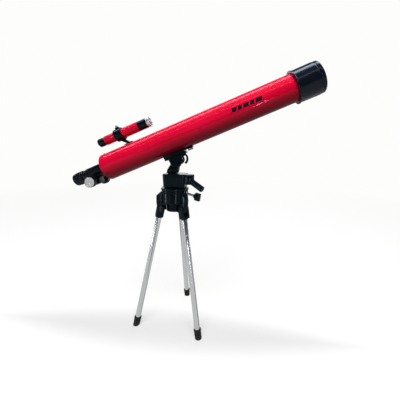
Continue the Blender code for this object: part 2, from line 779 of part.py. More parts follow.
def make_neck(pan, mats):
    half = NECK_WIDTH / 2
    place = at(TILT_X, 0, TILT_HEIGHT)
    neck = mesh_object("tilt_neck", prism_mesh(neck_outline(), -half, half), mats["black"], pan, place)
    bore = cutter_rod(
        "neck_bore", TILT_BOLT_RADIUS + BORE_GAP, -NECK_WIDTH, NECK_WIDTH, pan, place @ ALONG_Y, SMALL
    )
    cut(neck, bore)


# ---------------------------------------------------------------- tilt platform
def cheek_outline():
    underside = PLATE_TOP - PLATE_THICKNESS / 2
    return [
        (-KNUCKLE_RADIUS, underside),
        *arc(0, 0, KNUCKLE_RADIUS, 180, 360, 14),
        (KNUCKLE_RADIUS, underside),
    ]


def make_platform(tilt, mats):
    low = (PLATE_REAR, -CHEEK_OUTER, PLATE_TOP - PLATE_THICKNESS)
    high = (PLATE_FRONT, CHEEK_OUTER, PLATE_TOP)
    platform = mesh_object(
        "tilt_platform", box_mesh(low, high, 0.0006, PLATE_CORNER), mats["black"], tilt, at()
    )
    for side, start in (("near", -CHEEK_OUTER), ("far", CHEEK_INNER)):
        cheek = prism_mesh(cheek_outline(), start, start + CHEEK_THICKNESS)
        join(platform, mesh_object(f"cheek_{side}", cheek, None, tilt, at()))
    bolt_bore = cutter_rod(
        "platform_bolt_bore",
        TILT_BOLT_RADIUS + BORE_GAP,
        -2 * CHEEK_OUTER,
        2 * CHEEK_OUTER,
        tilt,
        ALONG_Y,
        SMALL,
    )
    screw_bore = cutter_rod(
        "platform_screw_bore",
        PLATFORM_SCREW_RADIUS + BORE_GAP,
        -PLATE_TOP,
        2 * PLATE_TOP,
        tilt,
        at(PLATFORM_SCREW_X),
        SMALL,
    )
    cut(platform, bolt_bore, screw_bore)


def make_tilt_lock(tilt, mats):
    bolt_end = CHEEK_OUTER + GAP
    knob_start = CHEEK_OUTER + GAP
    disc_start = knob_start + TILT_KNOB_HUB
    knob_end = disc_start + TILT_KNOB_THICKNESS
    bolt_near = knob_end - 0.0022
    bolt = turned(
        "tilt_bolt",
        rod_outline(TILT_BOLT_RADIUS, -bolt_near, bolt_end + TILT_NUT_HEIGHT / 2),
        mats["steel"],
        tilt,
        ALONG_Y,
        SMALL,
    )
    head = turned(
        "tilt_bolt_head",
        rod_outline(TILT_NUT_RADIUS, bolt_end, bolt_end + TILT_NUT_HEIGHT, 0.0006),
        None,
        tilt,
        ALONG_Y,
        6,
    )
    join(bolt, head)
    axis = frame("tilt_lock_axis", tilt, ALONG_MINUS_Y)
    bore = TILT_BOLT_RADIUS + BORE_GAP
    radius = TILT_KNOB_RADIUS
    outline = [
        (0, bolt_near + GAP),
        (bore, bolt_near + GAP),
        (bore, knob_start),
        (TILT_KNOB_HUB_RADIUS, knob_start),
        (TILT_KNOB_HUB_RADIUS, disc_start),
        (radius - 0.0010, disc_start),
        (radius, disc_start + 0.0010),
        *arc(radius - 0.0018, knob_end - 0.0018, 0.0018, 0, 90, 3),
        (radius * 0.72, knob_end),
        (radius * 0.66, knob_end - 0.0010),
        (0, knob_end - 0.0010),
    ]
    turned("tilt_lock_knob", outline, mats["black"], axis, at())
    return axis


def lever_points():
    """The lever's bow, in the platform screw's frame: out under the hub, then down and back."""
    return [
        (0.0005, 0.0, -0.0020),
        (0.0032, 0.0, -0.0044),
        (0.0036, 0.0, -0.0090),
        (0.0020, 0.0, -0.0138),
        (-0.0012, 0.0, -0.0180),
        (-0.0062, 0.0, -0.0206),
    ]


def smooth_path(points, steps):
    """Points along a Catmull-Rom curve through the given ones."""
    ends = [points[0], *points, points[-1]]
    path = []
    for before, start, end, after in zip(ends, ends[1:], ends[2:], ends[3:]):
        p0, p1, p2, p3 = (Vector(p) for p in (before, start, end, after))
        for step in range(steps):
            t = step / steps
            path.append(
                0.5 * (2 * p1 + (p2 - p0) * t + (2 * p0 - 5 * p1 + 4 * p2 - p3) * t**2
                       + (3 * p1 - p0 - 3 * p2 + p3) * t**3)
            )
    return [*path, Vector(points[-1])]


def tube_along(name, path, radii, segments, finish, parent, place):
    """A round bar of changing radius along a path in the XZ plane, with flat ends."""
    bm = bmesh.new()
    rings = []
    for number, centre in enumerate(path):
        before = path[max(number - 1, 0)]
        after = path[min(number + 1, len(path) - 1)]
        tangent = (after - before).normalized()
        side = Vector((0, 1, 0))
        up = side.cross(tangent).normalized()
        angles = [2 * math.pi * step / segments for step in range(segments)]
        radius = radii(number / (len(path) - 1))
        ring = [centre + radius * (math.cos(a) * side + math.sin(a) * up) for a in angles]
        rings.append([bm.verts.new(point) for point in ring])
    for low, high in zip(rings, rings[1:]):
        for step in range(segments):
            after = (step + 1) % segments
            bm.faces.new([low[step], low[after], high[after], high[step]])
    bm.faces.new(rings[0])
    bm.faces.new(rings[-1])
    return mesh_object(name, bm, finish, parent, place)


def make_platform_screw(tilt, mats):
    underside = PLATE_TOP - PLATE_THICKNESS - GAP
    axis = frame("platform_screw_axis", tilt, at(PLATFORM_SCREW_X, 0, underside))
    top = AXIS_RISE - underside - TUBE_RADIUS - 2 * GAP
    outline = [
        (0, -PLATFORM_HUB_HEIGHT),
        (PLATFORM_HUB_RADIUS - 0.0008, -PLATFORM_HUB_HEIGHT),
        (PLATFORM_HUB_RADIUS, -PLATFORM_HUB_HEIGHT + 0.0008),
        (PLATFORM_HUB_RADIUS, 0),
        (0, 0),
    ]
    hub = turned("platform_screw_lever", outline, mats["black"], axis, at(), SMALL)
    lever = tube_along(
        "lever_bow",
        smooth_path(lever_points(), 3),
        lambda part: LEVER_RADIUS * (1 + 0.25 * part),
        10,
        None,
        axis,
        at(),
    )
    join(hub, lever)
    shank_bottom = -PLATFORM_HUB_HEIGHT / 2
    bore = PLATFORM_SCREW_RADIUS + BORE_GAP
    cut(hub, cutter_rod("shank_socket", bore, shank_bottom - GAP, 0.01, axis, at(), SMALL))
    turned(
        "platform_screw",
        rod_outline(PLATFORM_SCREW_RADIUS, shank_bottom, top, 0.0004),
        mats["steel"],
        axis,
        at(),
        SMALL,
    )
    return axis


def block_outline(half_width, top_radius, bottom):
    """The saddle block's cross-section (y, z) in the tube's frame, its top curved to the tube."""
    half_angle = math.degrees(math.asin(half_width / top_radius))
    curve = arc(0, 0, top_radius, -90 - half_angle, -90 + half_angle, 8)
    return [*curve, (half_width, bottom), (-half_width, bottom)]


def make_block(tube, mats):
    bottom = PLATE_TOP + GAP - AXIS_RISE
    seat = TUBE_RADIUS + GAP
    outline = block_outline(BLOCK_WIDTH / 2, seat, bottom)
    lengthways = turn(-90, "Z")
    block = mesh_object(
        "tube_saddle_block", prism_mesh(outline, BLOCK_REAR, BLOCK_FRONT), mats["black"], tube, lengthways
    )
    outline = block_outline(STRAP_WIDTH / 2, seat, -seat - STRAP_THICKNESS)
    strap = mesh_object("strap", prism_mesh(outline, BLOCK_REAR / 2, STRAP_FRONT), None, tube, lengthways)
    join(block, strap)
    bore = cutter_rod(
        "block_bore", PLATFORM_SCREW_RADIUS + BORE_GAP, -2 * TUBE_RADIUS, 0, tube, at(PLATFORM_SCREW_X), SMALL
    )
    cut(block, bore, saddle_screw_cutter("strap_hole", tube))
    axis = frame("saddle_screw_axis", tube, at(SADDLE_SCREW_X))
    head_top = -seat - STRAP_THICKNESS - GAP
    head_bottom = head_top - SADDLE_HEAD_HEIGHT
    shank_top = -TUBE_RADIUS + TUBE_WALL + 0.0015
    edge = 0.0005
    screw = [
        (0, shank_top),
        (SADDLE_SCREW_RADIUS, shank_top),
        (SADDLE_SCREW_RADIUS, head_top),
        (SADDLE_HEAD_RADIUS - edge, head_top),
        (SADDLE_HEAD_RADIUS, head_top - edge),
        (SADDLE_HEAD_RADIUS, head_bottom + edge),
        (SADDLE_HEAD_RADIUS - edge, head_bottom),
        (0, head_bottom),
    ]
    turned("saddle_thumbscrew", screw, mats["spun"], axis, at(), MEDIUM)
    return axis


def saddle_screw_cutter(name, tube):
    radius = SADDLE_SCREW_RADIUS + BORE_GAP
    return cutter_rod(name, radius, -TUBE_RADIUS * 1.2, -TUBE_RADIUS / 2, tube, at(SADDLE_SCREW_X), SMALL)


# ---------------------------------------------------------------- telescope tube
def screw_places():
    """The three housing screws: pointing out of the tube's wall near its rear rim."""
    places = []
    for angle in HOUSING_SCREW_ANGLES:
        outwards = (0, -math.cos(angle), math.sin(angle))
        places.append(aimed((TUBE_REAR + HOUSING_SCREW_BEHIND, 0, 0), outwards))
    return places


def make_main_tube(tube, mats):
    rim = TUBE_RIM
    rolled = arc(TUBE_RADIUS - rim, TUBE_REAR + rim, rim, -90, 0, 3)
    inside = (TUBE_BORE, TUBE_REAR + TUBE_WALL)
    outline = [inside, *rolled[1:], (TUBE_RADIUS, TUBE_FRONT), (TUBE_BORE, TUBE_FRONT)]
    main = turned("main_tube", outline, mats["red"], tube, ALONG_X, WIDE, closed=True)
    cutters = []
    for number, place in enumerate(screw_places()):
        radius = SCREW_RADIUS + BORE_GAP
        cutters.append(
            cutter_rod(f"tube_hole_{number}", radius, TUBE_RADIUS / 2, TUBE_RADIUS * 1.2, tube, place, TINY)
        )
    bracket_hole = cutter_rod(
        "bracket_screw_hole",
        SCREW_RADIUS + BORE_GAP,
        TUBE_RADIUS / 2,
        TUBE_RADIUS * 1.2,
        tube,
        bracket_screw_place(),
        TINY,
    )
    cut(main, saddle_screw_cutter("saddle_hole", tube), bracket_hole, *cutters)


def screw_outline(length, base):
    """A dome-headed screw: the shank reaches down from base, the head stands on it."""
    dome = [(SCREW_HEAD_RADIUS * 0.7, base + SCREW_HEAD_HEIGHT * 0.85), (0, base + SCREW_HEAD_HEIGHT)]
    return [
        (0, base - length),
        (SCREW_RADIUS, base - length),
        (SCREW_RADIUS, base),
        (SCREW_HEAD_RADIUS, base),
        (SCREW_HEAD_RADIUS, base + SCREW_HEAD_HEIGHT * 0.4),
        *dome,
    ]


def make_housing_screws(tube, mats):
    for number, place in enumerate(screw_places()):
        outline = screw_outline(TUBE_WALL + 0.0045, TUBE_RADIUS + GAP)
        turned(f"housing_screw_{number + 1}", outline, mats["steel"], tube, place, TINY)


def make_hood(tube, mats):
    slip = TUBE_RADIUS + BORE_GAP
    cell_front = TUBE_FRONT + GAP + CELL_LIP + GAP
    outline = [
        (slip, HOOD_REAR),
        (HOOD_FLANGE_RADIUS - 0.0004, HOOD_REAR),
        (HOOD_FLANGE_RADIUS, HOOD_REAR + 0.0004),
        (HOOD_FLANGE_RADIUS, HOOD_REAR + HOOD_FLANGE_LENGTH - 0.0006),
        (HOOD_RADIUS, HOOD_REAR + HOOD_FLANGE_LENGTH),
        (HOOD_RADIUS, HOOD_FRONT - 0.0006),
        (HOOD_RADIUS - 0.0006, HOOD_FRONT),
        (HOOD_BORE, HOOD_FRONT),
        (HOOD_BORE, cell_front + 0.0010),
        (slip, cell_front),
    ]
    turned("dew_hood", outline, mats["hood"], tube, ALONG_X, WIDE, closed=True)


def make_objective(tube, mats):
    lip_start = TUBE_FRONT + GAP
    lip_end = lip_start + CELL_LIP
    pocket = LENS_RADIUS + BORE_GAP
    shelf = lip_end - RETAINER_THICKNESS - CROWN_THICKNESS - FLINT_THICKNESS - 3 * GAP
    outer = TUBE_BORE - BORE_GAP
    outline = [
        (CELL_BORE, shelf),
        (CELL_BORE, lip_end - CELL_LENGTH),
        (outer, lip_end - CELL_LENGTH),
        (outer, lip_start),
        (TUBE_RADIUS, lip_start),
        (TUBE_RADIUS, lip_end),
        (pocket, lip_end),
        (pocket, shelf),
    ]
    turned("objective_cell", outline, mats["black"], tube, ALONG_X, WIDE, closed=True)
    flint_rear = shelf + GAP
    flint_front = flint_rear + FLINT_THICKNESS
    crown_rear = flint_front + GAP
    crown_front = crown_rear + CROWN_THICKNESS
    lens = [
        (0, flint_rear + LENS_BULGE / 2),
        (LENS_RADIUS * 0.5, flint_rear + LENS_BULGE * 0.35),
        (LENS_RADIUS, flint_rear),
        (LENS_RADIUS, flint_front),
        (LENS_RADIUS * 0.5, flint_front - LENS_BULGE * 0.75),
        (0, flint_front - LENS_BULGE),
    ]
    turned("objective_flint", lens, mats["glass"], tube, ALONG_X, MEDIUM)
    lens = [
        (0, crown_rear - LENS_BULGE),
        (LENS_RADIUS * 0.5, crown_rear - LENS_BULGE * 0.75),
        (LENS_RADIUS, crown_rear),
        (LENS_RADIUS, crown_front - LENS_BULGE),
        (LENS_RADIUS * 0.5, crown_front - LENS_BULGE * 0.25),
        (0, crown_front),
    ]
    turned("objective_crown", lens, mats["glass"], tube, ALONG_X, MEDIUM)
    retainer = pipe_outline(LENS_RADIUS, LENS_RADIUS - 0.0020, crown_front + GAP, lip_end)
    turned("objective_retainer", retainer, mats["black"], tube, ALONG_X, MEDIUM, closed=True)


def make_dust_cap(tube, mats):
    axis = frame("dust_cap_axis", tube, at(HOOD_FRONT))
    plug = HOOD_BORE - BORE_GAP
    start = GAP
    end = start + CAP_BAND_LENGTH
    inner = plug - CAP_PLUG_WALL
    outline = [
        (0, start),
        (inner, start),
        (inner, start - CAP_PLUG_LENGTH),
        (plug, start - CAP_PLUG_LENGTH),
        (plug, start),
        (CAP_BAND_RADIUS, start),
        *arc(CAP_BAND_RADIUS - CAP_BAND_ROUND, end - CAP_BAND_ROUND, CAP_BAND_ROUND, 0, 90, 3),
        (CAP_FACE_RECESS_RADIUS, end),
        (CAP_FACE_RECESS_RADIUS - CAP_FACE_RECESS, end - CAP_FACE_RECESS),
        (0, end - CAP_FACE_RECESS),
    ]
    turned("dust_cap", outline, mats["hood"], axis, ALONG_X, WIDE)
    return axis


# ---------------------------------------------------------------- focuser
def pinion_place():
    return at(PINION_X, 0, PINION_Z)


def make_focuser_housing(tube, mats):
    front = TUBE_REAR + PLATE_RECESS + BACK_PLATE_THICKNESS
    plate = TUBE_BORE - BORE_GAP
    rear_face = TUBE_REAR + PLATE_RECESS
    outline = [
        (SLEEVE_BORE, front),
        (SLEEVE_BORE, SLEEVE_REAR),
        (SLEEVE_RADIUS - 0.0006, SLEEVE_REAR),
        (SLEEVE_RADIUS, SLEEVE_REAR + 0.0006),
        (SLEEVE_RADIUS + 0.0005, rear_face - 0.0040),
        (SLEEVE_RADIUS + 0.0040, rear_face),
        (plate, rear_face),
        (plate, front),
    ]
    housing = turned("focuser_housing", outline, mats["black"], tube, ALONG_X, WIDE, closed=True)
    half_length = PINION_BLOCK_LENGTH / 2
    half_width = PINION_BLOCK_WIDTH / 2
    block = mesh_object(
        "pinion_block",
        box_mesh(
            (PINION_X - half_length, -half_width, PINION_BLOCK_BOTTOM),
            (PINION_X + half_length, half_width, -SLEEVE_BORE * 0.5),
        ),
        None,
        tube,
        at(),
    )
    join(housing, block)
    bore = cutter_rod("sleeve_bore", SLEEVE_BORE, SLEEVE_REAR - 0.01, front + 0.01, tube, ALONG_X, WIDE)
    slot_half = RACK_WIDTH / 2 + BORE_GAP
    rack_slot = mesh_object(
        "rack_slot",
        box_mesh(
            (SLEEVE_REAR - 0.01, -slot_half, RACK_BOTTOM - RACK_TOOTH - 2 * GAP),
            (front + 0.01, slot_half, -SLEEVE_BORE * 0.5),
        ),
        None,
        tube,
        at(),
    )
    pocket_half = PINION_WIDTH / 2 + GAP
    pocket = mesh_object(
        "pinion_pocket",
        box_mesh(
            (PINION_X - PINION_POCKET_RADIUS, -pocket_half, PINION_BLOCK_BOTTOM - 0.01),
            (PINION_X + PINION_POCKET_RADIUS, pocket_half, RACK_BOTTOM),
        ),
        None,
        tube,
        at(),
    )
    shaft_bore = cutter_rod(
        "shaft_bore",
        PINION_SHAFT_RADIUS + BORE_GAP,
        -PINION_BLOCK_WIDTH,
        PINION_BLOCK_WIDTH,
        tube,
        pinion_place() @ ALONG_Y,
        SMALL,
    )
    screw_holes = []
    for number, place in enumerate(screw_places()):
        radius = SCREW_RADIUS + BORE_GAP
        depth = TUBE_BORE - 0.006
        screw_holes.append(
            cutter_rod(f"plate_hole_{number}", radius, depth, TUBE_RADIUS * 1.2, tube, place, TINY)
        )
    cut(housing, bore, rack_slot, pocket, shaft_bore, *screw_holes)
    cover = box_mesh(
        (PINION_X - half_length + 0.0010, -half_width + 0.0010, PINION_BLOCK_BOTTOM - GAP - COVER_THICKNESS),
        (PINION_X + half_length - 0.0010, half_width - 0.0010, PINION_BLOCK_BOTTOM - GAP),
        0.0004,
        0.0015,
    )
    mesh_object("pinion_cover", cover, mats["steel"], tube, at())


def make_drawtube(tube, mats):
    axis = frame("focus_axis", tube, at())
    rear = DRAWTUBE_REAR
    collar = rear + DRAWTUBE_COLLAR_LENGTH
    front = rear + DRAWTUBE_LENGTH
    outline = [
        (DRAWTUBE_BORE, rear),
        (DRAWTUBE_COLLAR_RADIUS, rear),
        (DRAWTUBE_COLLAR_RADIUS, collar - 0.0006),
        (DRAWTUBE_RADIUS, collar),
        (DRAWTUBE_RADIUS, front),
        (DRAWTUBE_BORE, front),
    ]
    drawtube = turned("drawtube", outline, mats["chrome"], axis, ALONG_X, MEDIUM, closed=True)
    cut(
        drawtube,
        cutter_rod(
            "drawtube_screw_hole",
            EYEPIECE_SCREW_RADIUS + BORE_GAP,
            DRAWTUBE_BORE * 0.6,
            DRAWTUBE_RADIUS * 1.5,
            axis,
            eyepiece_screw_place(),
            TINY,
        ),
    )
    make_rack(axis, mats)
    return axis


def rack_outline():
    """The rack's side view (x, z): teeth below, at the pinion's pitch."""
    pitch = 2 * math.pi * PINION_PITCH_RADIUS / PINION_TEETH
    start = DRAWTUBE_REAR + RACK_END_MARGIN
    teeth = int(RACK_LENGTH / pitch)
    offset = (PINION_X - start) % pitch
    points = [(start, -DRAWTUBE_RADIUS - GAP), (start, RACK_BOTTOM)]
    for number in range(teeth):
        middle = start + offset + (number + 0.5) * pitch
        root_half = pitch * 0.30
        tip_half = pitch * 0.14
        points.append((middle - root_half, RACK_BOTTOM))
        points.append((middle - tip_half, RACK_BOTTOM - RACK_TOOTH))
        points.append((middle + tip_half, RACK_BOTTOM - RACK_TOOTH))
        points.append((middle + root_half, RACK_BOTTOM))
    end = start + offset + (teeth + 0.1) * pitch
    return [*points, (end, RACK_BOTTOM), (end, -DRAWTUBE_RADIUS - GAP)]


def make_rack(axis, mats):
    half = RACK_WIDTH / 2
    mesh_object("focus_rack", prism_mesh(rack_outline(), -half, half), mats["brass"], axis, at())


def pinion_mesh():
    """The pinion's outline, a tooth at the top turned half a pitch so it meshes, extruded along Y."""
    step = 2 * math.pi / PINION_TEETH
    root = PINION_PITCH_RADIUS - RACK_TOOTH / 2 - GAP
    tip = PINION_PITCH_RADIUS + RACK_TOOTH / 2 - GAP
    points = []
    for number in range(PINION_TEETH):
        middle = math.pi / 2 + number * step
        for radius, share in ((root, -0.28), (tip, -0.11), (tip, 0.11), (root, 0.28)):
            angle = middle + share * step
            points.append((radius * math.cos(angle), radius * math.sin(angle)))
    half = PINION_WIDTH / 2
    return prism_mesh(points, -half, half)


def make_pinion(tube, mats):
    axis = frame("pinion_axis", tube, pinion_place())
    shaft_half = KNOB_START + KNOB_BORE_DEPTH - GAP
    shaft = turned(
        "pinion_shaft",
        rod_outline(PINION_SHAFT_RADIUS, -shaft_half, shaft_half, 0.0003),
        mats["steel"],
        axis,
        ALONG_Y,
        SMALL,
    )
    join(shaft, mesh_object("pinion", pinion_mesh(), None, axis, at()))
    bore = PINION_SHAFT_RADIUS + BORE_GAP
    knob_end = KNOB_START + KNOB_LENGTH
    for side, way in (("near", ALONG_MINUS_Y), ("far", ALONG_Y)):
        face_seat = knob_end - KNOB_FACE_THICKNESS
        outline = [
            (0, KNOB_START + KNOB_BORE_DEPTH),
            (bore, KNOB_START + KNOB_BORE_DEPTH),
            (bore, KNOB_START),
            (KNOB_RADIUS * 0.62, KNOB_START),
            (KNOB_RADIUS * 0.66, KNOB_START + 0.0035),
            (KNOB_RADIUS - 0.0008, KNOB_START + 0.0040),
            (KNOB_RADIUS, KNOB_START + 0.0048),
            (KNOB_RADIUS, knob_end - 0.0006),
            (KNOB_RADIUS - 0.0004, knob_end),
            (KNOB_FACE_RADIUS + GAP, knob_end),
            (KNOB_FACE_RADIUS + GAP, face_seat),
            (0, face_seat),
        ]
        turned(f"focus_knob_{side}", outline, mats["black"], axis, way, MEDIUM)
        disc = rod_outline(KNOB_FACE_RADIUS, face_seat + GAP, knob_end + GAP, 0.0003)
        turned(f"focus_knob_face_{side}", disc, mats["spun"], axis, way, MEDIUM)
    return axis


def eyepiece_screw_place():
    x = DRAWTUBE_REAR + DRAWTUBE_COLLAR_LENGTH / 2
    return at(x) @ ALONG_Y


def make_eyepiece_screw(focus, mats):
    axis = frame("eyepiece_screw_axis", focus, eyepiece_screw_place())
    shank_start = BARREL_RADIUS + GAP
    head_start = DRAWTUBE_COLLAR_RADIUS + 0.0030
    end = shank_start + EYEPIECE_SCREW_LENGTH
    outline = [
        (0, shank_start),
        (EYEPIECE_SCREW_RADIUS, shank_start),
        (EYEPIECE_SCREW_RADIUS, head_start),
        (EYEPIECE_SCREW_HEAD, head_start),
        (EYEPIECE_SCREW_HEAD, end),
        (0, end),
    ]
    turned("eyepiece_screw", outline, mats["chrome"], axis, at(), SMALL)
    return axis


def make_eyepiece(focus, mats):
    seat = DRAWTUBE_REAR - GAP
    axis = frame("eyepiece_axis", focus, at(seat))
    rear = -EYEPIECE_LENGTH
    cup = rear + EYEPIECE_CUP_DEPTH
    lens_seat = cup + EYE_LENS_THICKNESS + 2 * GAP
    inside = BARREL_RADIUS - BARREL_WALL
    outline = [
        (inside, 0),
        (inside, lens_seat + 0.0020),
        (EYEPIECE_BORE, lens_seat + 0.0020),
        (EYEPIECE_BORE, cup),
        (EYEPIECE_REAR_RADIUS - 0.0030, rear),
        *arc(EYEPIECE_REAR_RADIUS - 0.0016, rear + 0.0016, 0.0016, -90, -20, 3),
        (EYEPIECE_REAR_RADIUS + 0.0002, rear + 0.0052),
        (EYEPIECE_RADIUS - 0.0008, rear + 0.0068),
        (EYEPIECE_RADIUS, rear + 0.0084),
        (EYEPIECE_RADIUS, -0.0014),
        (EYEPIECE_RADIUS - 0.0014, 0),
    ]
    turned("eyepiece_shell", outline, mats["black"], axis, ALONG_X, MEDIUM, closed=True)
    turned(
        "eyepiece_barrel",
        pipe_outline(BARREL_RADIUS, inside, GAP, BARREL_LENGTH),
        mats["chrome"],
        axis,
        ALONG_X,
        MEDIUM,
        closed=True,
    )
    eye = EYEPIECE_BORE - BORE_GAP
    middle = cup + GAP + EYE_LENS_THICKNESS / 2
    turned("eye_lens", lens_outline(eye, middle, EYE_LENS_THICKNESS), mats["glass"], axis, ALONG_X, SMALL)
    return axis


def lens_outline(radius, middle, thickness):
    """A lens bulging on both faces, its rim a third as thick as its middle."""
    rim = thickness / 6
    face = thickness / 2
    return [
        (0, middle - face),
        (radius * 0.6, middle - face * 0.72),
        (radius, middle - rim),
        (radius, middle + rim),
        (radius * 0.6, middle + face * 0.72),
        (0, middle + face),
    ]


# ---------------------------------------------------------------- finder
def bracket_screw_place():
    """The bracket's screw: down through its base into the tube's top."""
    x = stem_foot_x() + STEM_BASE_LENGTH / 2 - 0.0045
    return at(x)


def stem_foot_x():
    return (CLAMP_REAR + CLAMP_FRONT) / 2 + STEM_LEAN


def make_bracket(tube, mats):
    ring_inner = FINDER_RADIUS + GAP
    ring_outer = ring_inner + CLAMP_THICKNESS
    outline = [
        (ring_inner, CLAMP_REAR),
        (ring_outer - 0.0006, CLAMP_REAR),
        (ring_outer, CLAMP_REAR + 0.0006),
        (ring_outer, CLAMP_FRONT - 0.0006),
        (ring_outer - 0.0006, CLAMP_FRONT),
        (ring_inner, CLAMP_FRONT),
    ]
    place = at(0, 0, FINDER_RISE)
    bracket = turned("finder_bracket", outline, mats["black"], tube, place @ ALONG_X, MEDIUM, closed=True)
    middle = (CLAMP_REAR + CLAMP_FRONT) / 2
    top = FINDER_RISE - ring_inner - CLAMP_THICKNESS / 2
    bottom = TUBE_RADIUS + GAP + STEM_BASE_THICKNESS / 2
    half = STEM_THICKNESS / 2
    foot = stem_foot_x()
    stem_shape = [(middle - half, top), (foot - half, bottom)]
    stem_shape += [(foot + half, bottom), (middle + half * 1.6, top)]
    stem = prism_mesh(stem_shape, -STEM_WIDTH / 2, STEM_WIDTH / 2)
    inner = TUBE_RADIUS + GAP
    base_half = STEM_WIDTH * 0.75
    half_angle = math.degrees(math.asin(base_half / inner))
    low = arc(0, 0, inner, 90 + half_angle, 90 - half_angle, 4)
    high = arc(0, 0, inner + STEM_BASE_THICKNESS, 90 - half_angle, 90 + half_angle, 4)
    base_length = STEM_BASE_LENGTH / 2
    base = prism_mesh([*low, *high], foot - base_length, foot + base_length)
    boss = box_mesh(
        (middle - CLAMP_BOSS_LENGTH / 2, -CLAMP_BOSS_WIDTH / 2, FINDER_RISE + ring_inner + 0.0008),
        (middle + CLAMP_BOSS_LENGTH / 2, CLAMP_BOSS_WIDTH / 2, FINDER_RISE + ring_outer + CLAMP_BOSS_HEIGHT),
        0.0006,
        0.0012,
    )
    join(
        bracket,
        mesh_object("stem", stem, None, tube, at()),
        mesh_object("stem_base", base, None, tube, turn(-90, "Z")),
        mesh_object("clamp_boss", boss, None, tube, at()),
    )
    screw_bore = cutter_rod(
        "clamp_screw_bore",
        SCREW_RADIUS + BORE_GAP,
        ring_inner * 0.9,
        ring_outer + 0.01,
        tube,
        at(middle, 0, FINDER_RISE),
        TINY,
    )
    foot_bore = cutter_rod(
        "bracket_bore",
        SCREW_RADIUS + BORE_GAP,
        TUBE_RADIUS * 0.9,
        TUBE_RADIUS + 0.006,
        tube,
        bracket_screw_place(),
        TINY,
    )
    cut(bracket, screw_bore, foot_bore)
    top_of_base = inner + STEM_BASE_THICKNESS + GAP
    turned(
        "bracket_screw",
        screw_outline(TUBE_WALL + STEM_BASE_THICKNESS + 0.0018, top_of_base),
        mats["steel"],
        tube,
        bracket_screw_place(),
        TINY,
    )
    boss_top = ring_outer + CLAMP_BOSS_HEIGHT + GAP
    axis = frame("finder_clamp_axis", tube, at(middle, 0, FINDER_RISE))
    screw = [
        (0, FINDER_RADIUS + GAP),
        (SCREW_RADIUS, FINDER_RADIUS + GAP),
        (SCREW_RADIUS, boss_top),
        (CLAMP_SCREW_HEAD_RADIUS, boss_top),
        (CLAMP_SCREW_HEAD_RADIUS, boss_top + CLAMP_SCREW_LENGTH * 0.7),
        (CLAMP_SCREW_HEAD_RADIUS * 0.8, boss_top + CLAMP_SCREW_LENGTH),
        (0, boss_top + CLAMP_SCREW_LENGTH),
    ]
    turned("finder_clamp_screw", screw, mats["steel"], axis, at(), SMALL)
    return axis


def make_finder(tube, mats):
    finder = frame("finder_frame", tube, at(0, 0, FINDER_RISE))
    outline = [
        (FINDER_BORE, FINDER_REAR),
        (FINDER_REAR_RADIUS - 0.0006, FINDER_REAR),
        (FINDER_REAR_RADIUS, FINDER_REAR + 0.0006),
        (FINDER_REAR_RADIUS, FINDER_STEP),
        (FINDER_RADIUS, FINDER_STEP + 0.0008),
        (FINDER_RADIUS, FINDER_FRONT),
        (FINDER_BORE, FINDER_FRONT),
    ]
    body = turned("finder_tube", outline, mats["red"], finder, ALONG_X, MEDIUM, closed=True)
    stop_place = at(STOP_SCREW_X) @ ALONG_MINUS_Y
    hole = cutter_rod(
        "stop_hole", SCREW_RADIUS + BORE_GAP, FINDER_BORE / 2, FINDER_RADIUS * 1.3, finder, stop_place, TINY
    )
    cut(body, hole)
    base = FINDER_REAR_RADIUS + GAP
    outline = [
        (0, FINDER_BORE + GAP),
        (SCREW_RADIUS, FINDER_BORE + GAP),
        (SCREW_RADIUS, base),
        (STOP_SCREW_RADIUS, base),
        (STOP_SCREW_RADIUS, base + SCREW_HEAD_HEIGHT * 0.6),
        (STOP_SCREW_RADIUS * 0.6, base + SCREW_HEAD_HEIGHT),
        (0, base + SCREW_HEAD_HEIGHT),
    ]
    turned("finder_stop_screw", outline, mats["chrome"], finder, stop_place, TINY)
    make_finder_objective(finder, mats)
    return make_finder_eyepiece(finder, mats)


def make_finder_objective(finder, mats):
    start = FINDER_FRONT + GAP
    end = start + FINDER_CELL_LENGTH
    lens_seat = end - 0.0050
    pocket = FINDER_LENS_RADIUS + BORE_GAP
    outline = [
        (FINDER_CELL_RADIUS - 0.0005, start),
        (FINDER_CELL_RADIUS, start + 0.0005),
        (FINDER_CELL_RADIUS, end),
        (pocket, end),
        (pocket, lens_seat),
        (FINDER_LENS_RADIUS - 0.0010, lens_seat),
        (FINDER_LENS_RADIUS - 0.0010, start),
    ]
    turned("finder_cell", outline, mats["black"], finder, ALONG_X, MEDIUM, closed=True)
    middle = lens_seat + GAP + FINDER_LENS_THICKNESS / 2
    turned(
        "finder_lens",
        lens_outline(FINDER_LENS_RADIUS, middle, FINDER_LENS_THICKNESS),
        mats["glass"],
        finder,
        ALONG_X,
        SMALL,
    )
    ring_start = end + GAP
    ring_end = ring_start + FINDER_RING_LENGTH
    inner = FINDER_LENS_RADIUS - 0.0004
    outline = [
        (inner, ring_start),
        (FINDER_CELL_RADIUS, ring_start),
        (FINDER_CELL_RADIUS, ring_start + FINDER_RING_LENGTH * 0.35),
        (FINDER_RING_RADIUS, ring_end - FINDER_RING_LENGTH * 0.25),
        (FINDER_RING_RADIUS, ring_end - 0.0004),
        (FINDER_RING_RADIUS - 0.0004, ring_end),
        (FINDER_RING_RADIUS - 0.0016, ring_end),
    ]
    turned("finder_front_ring", outline, mats["chrome"], finder, ALONG_X, MEDIUM, closed=True)


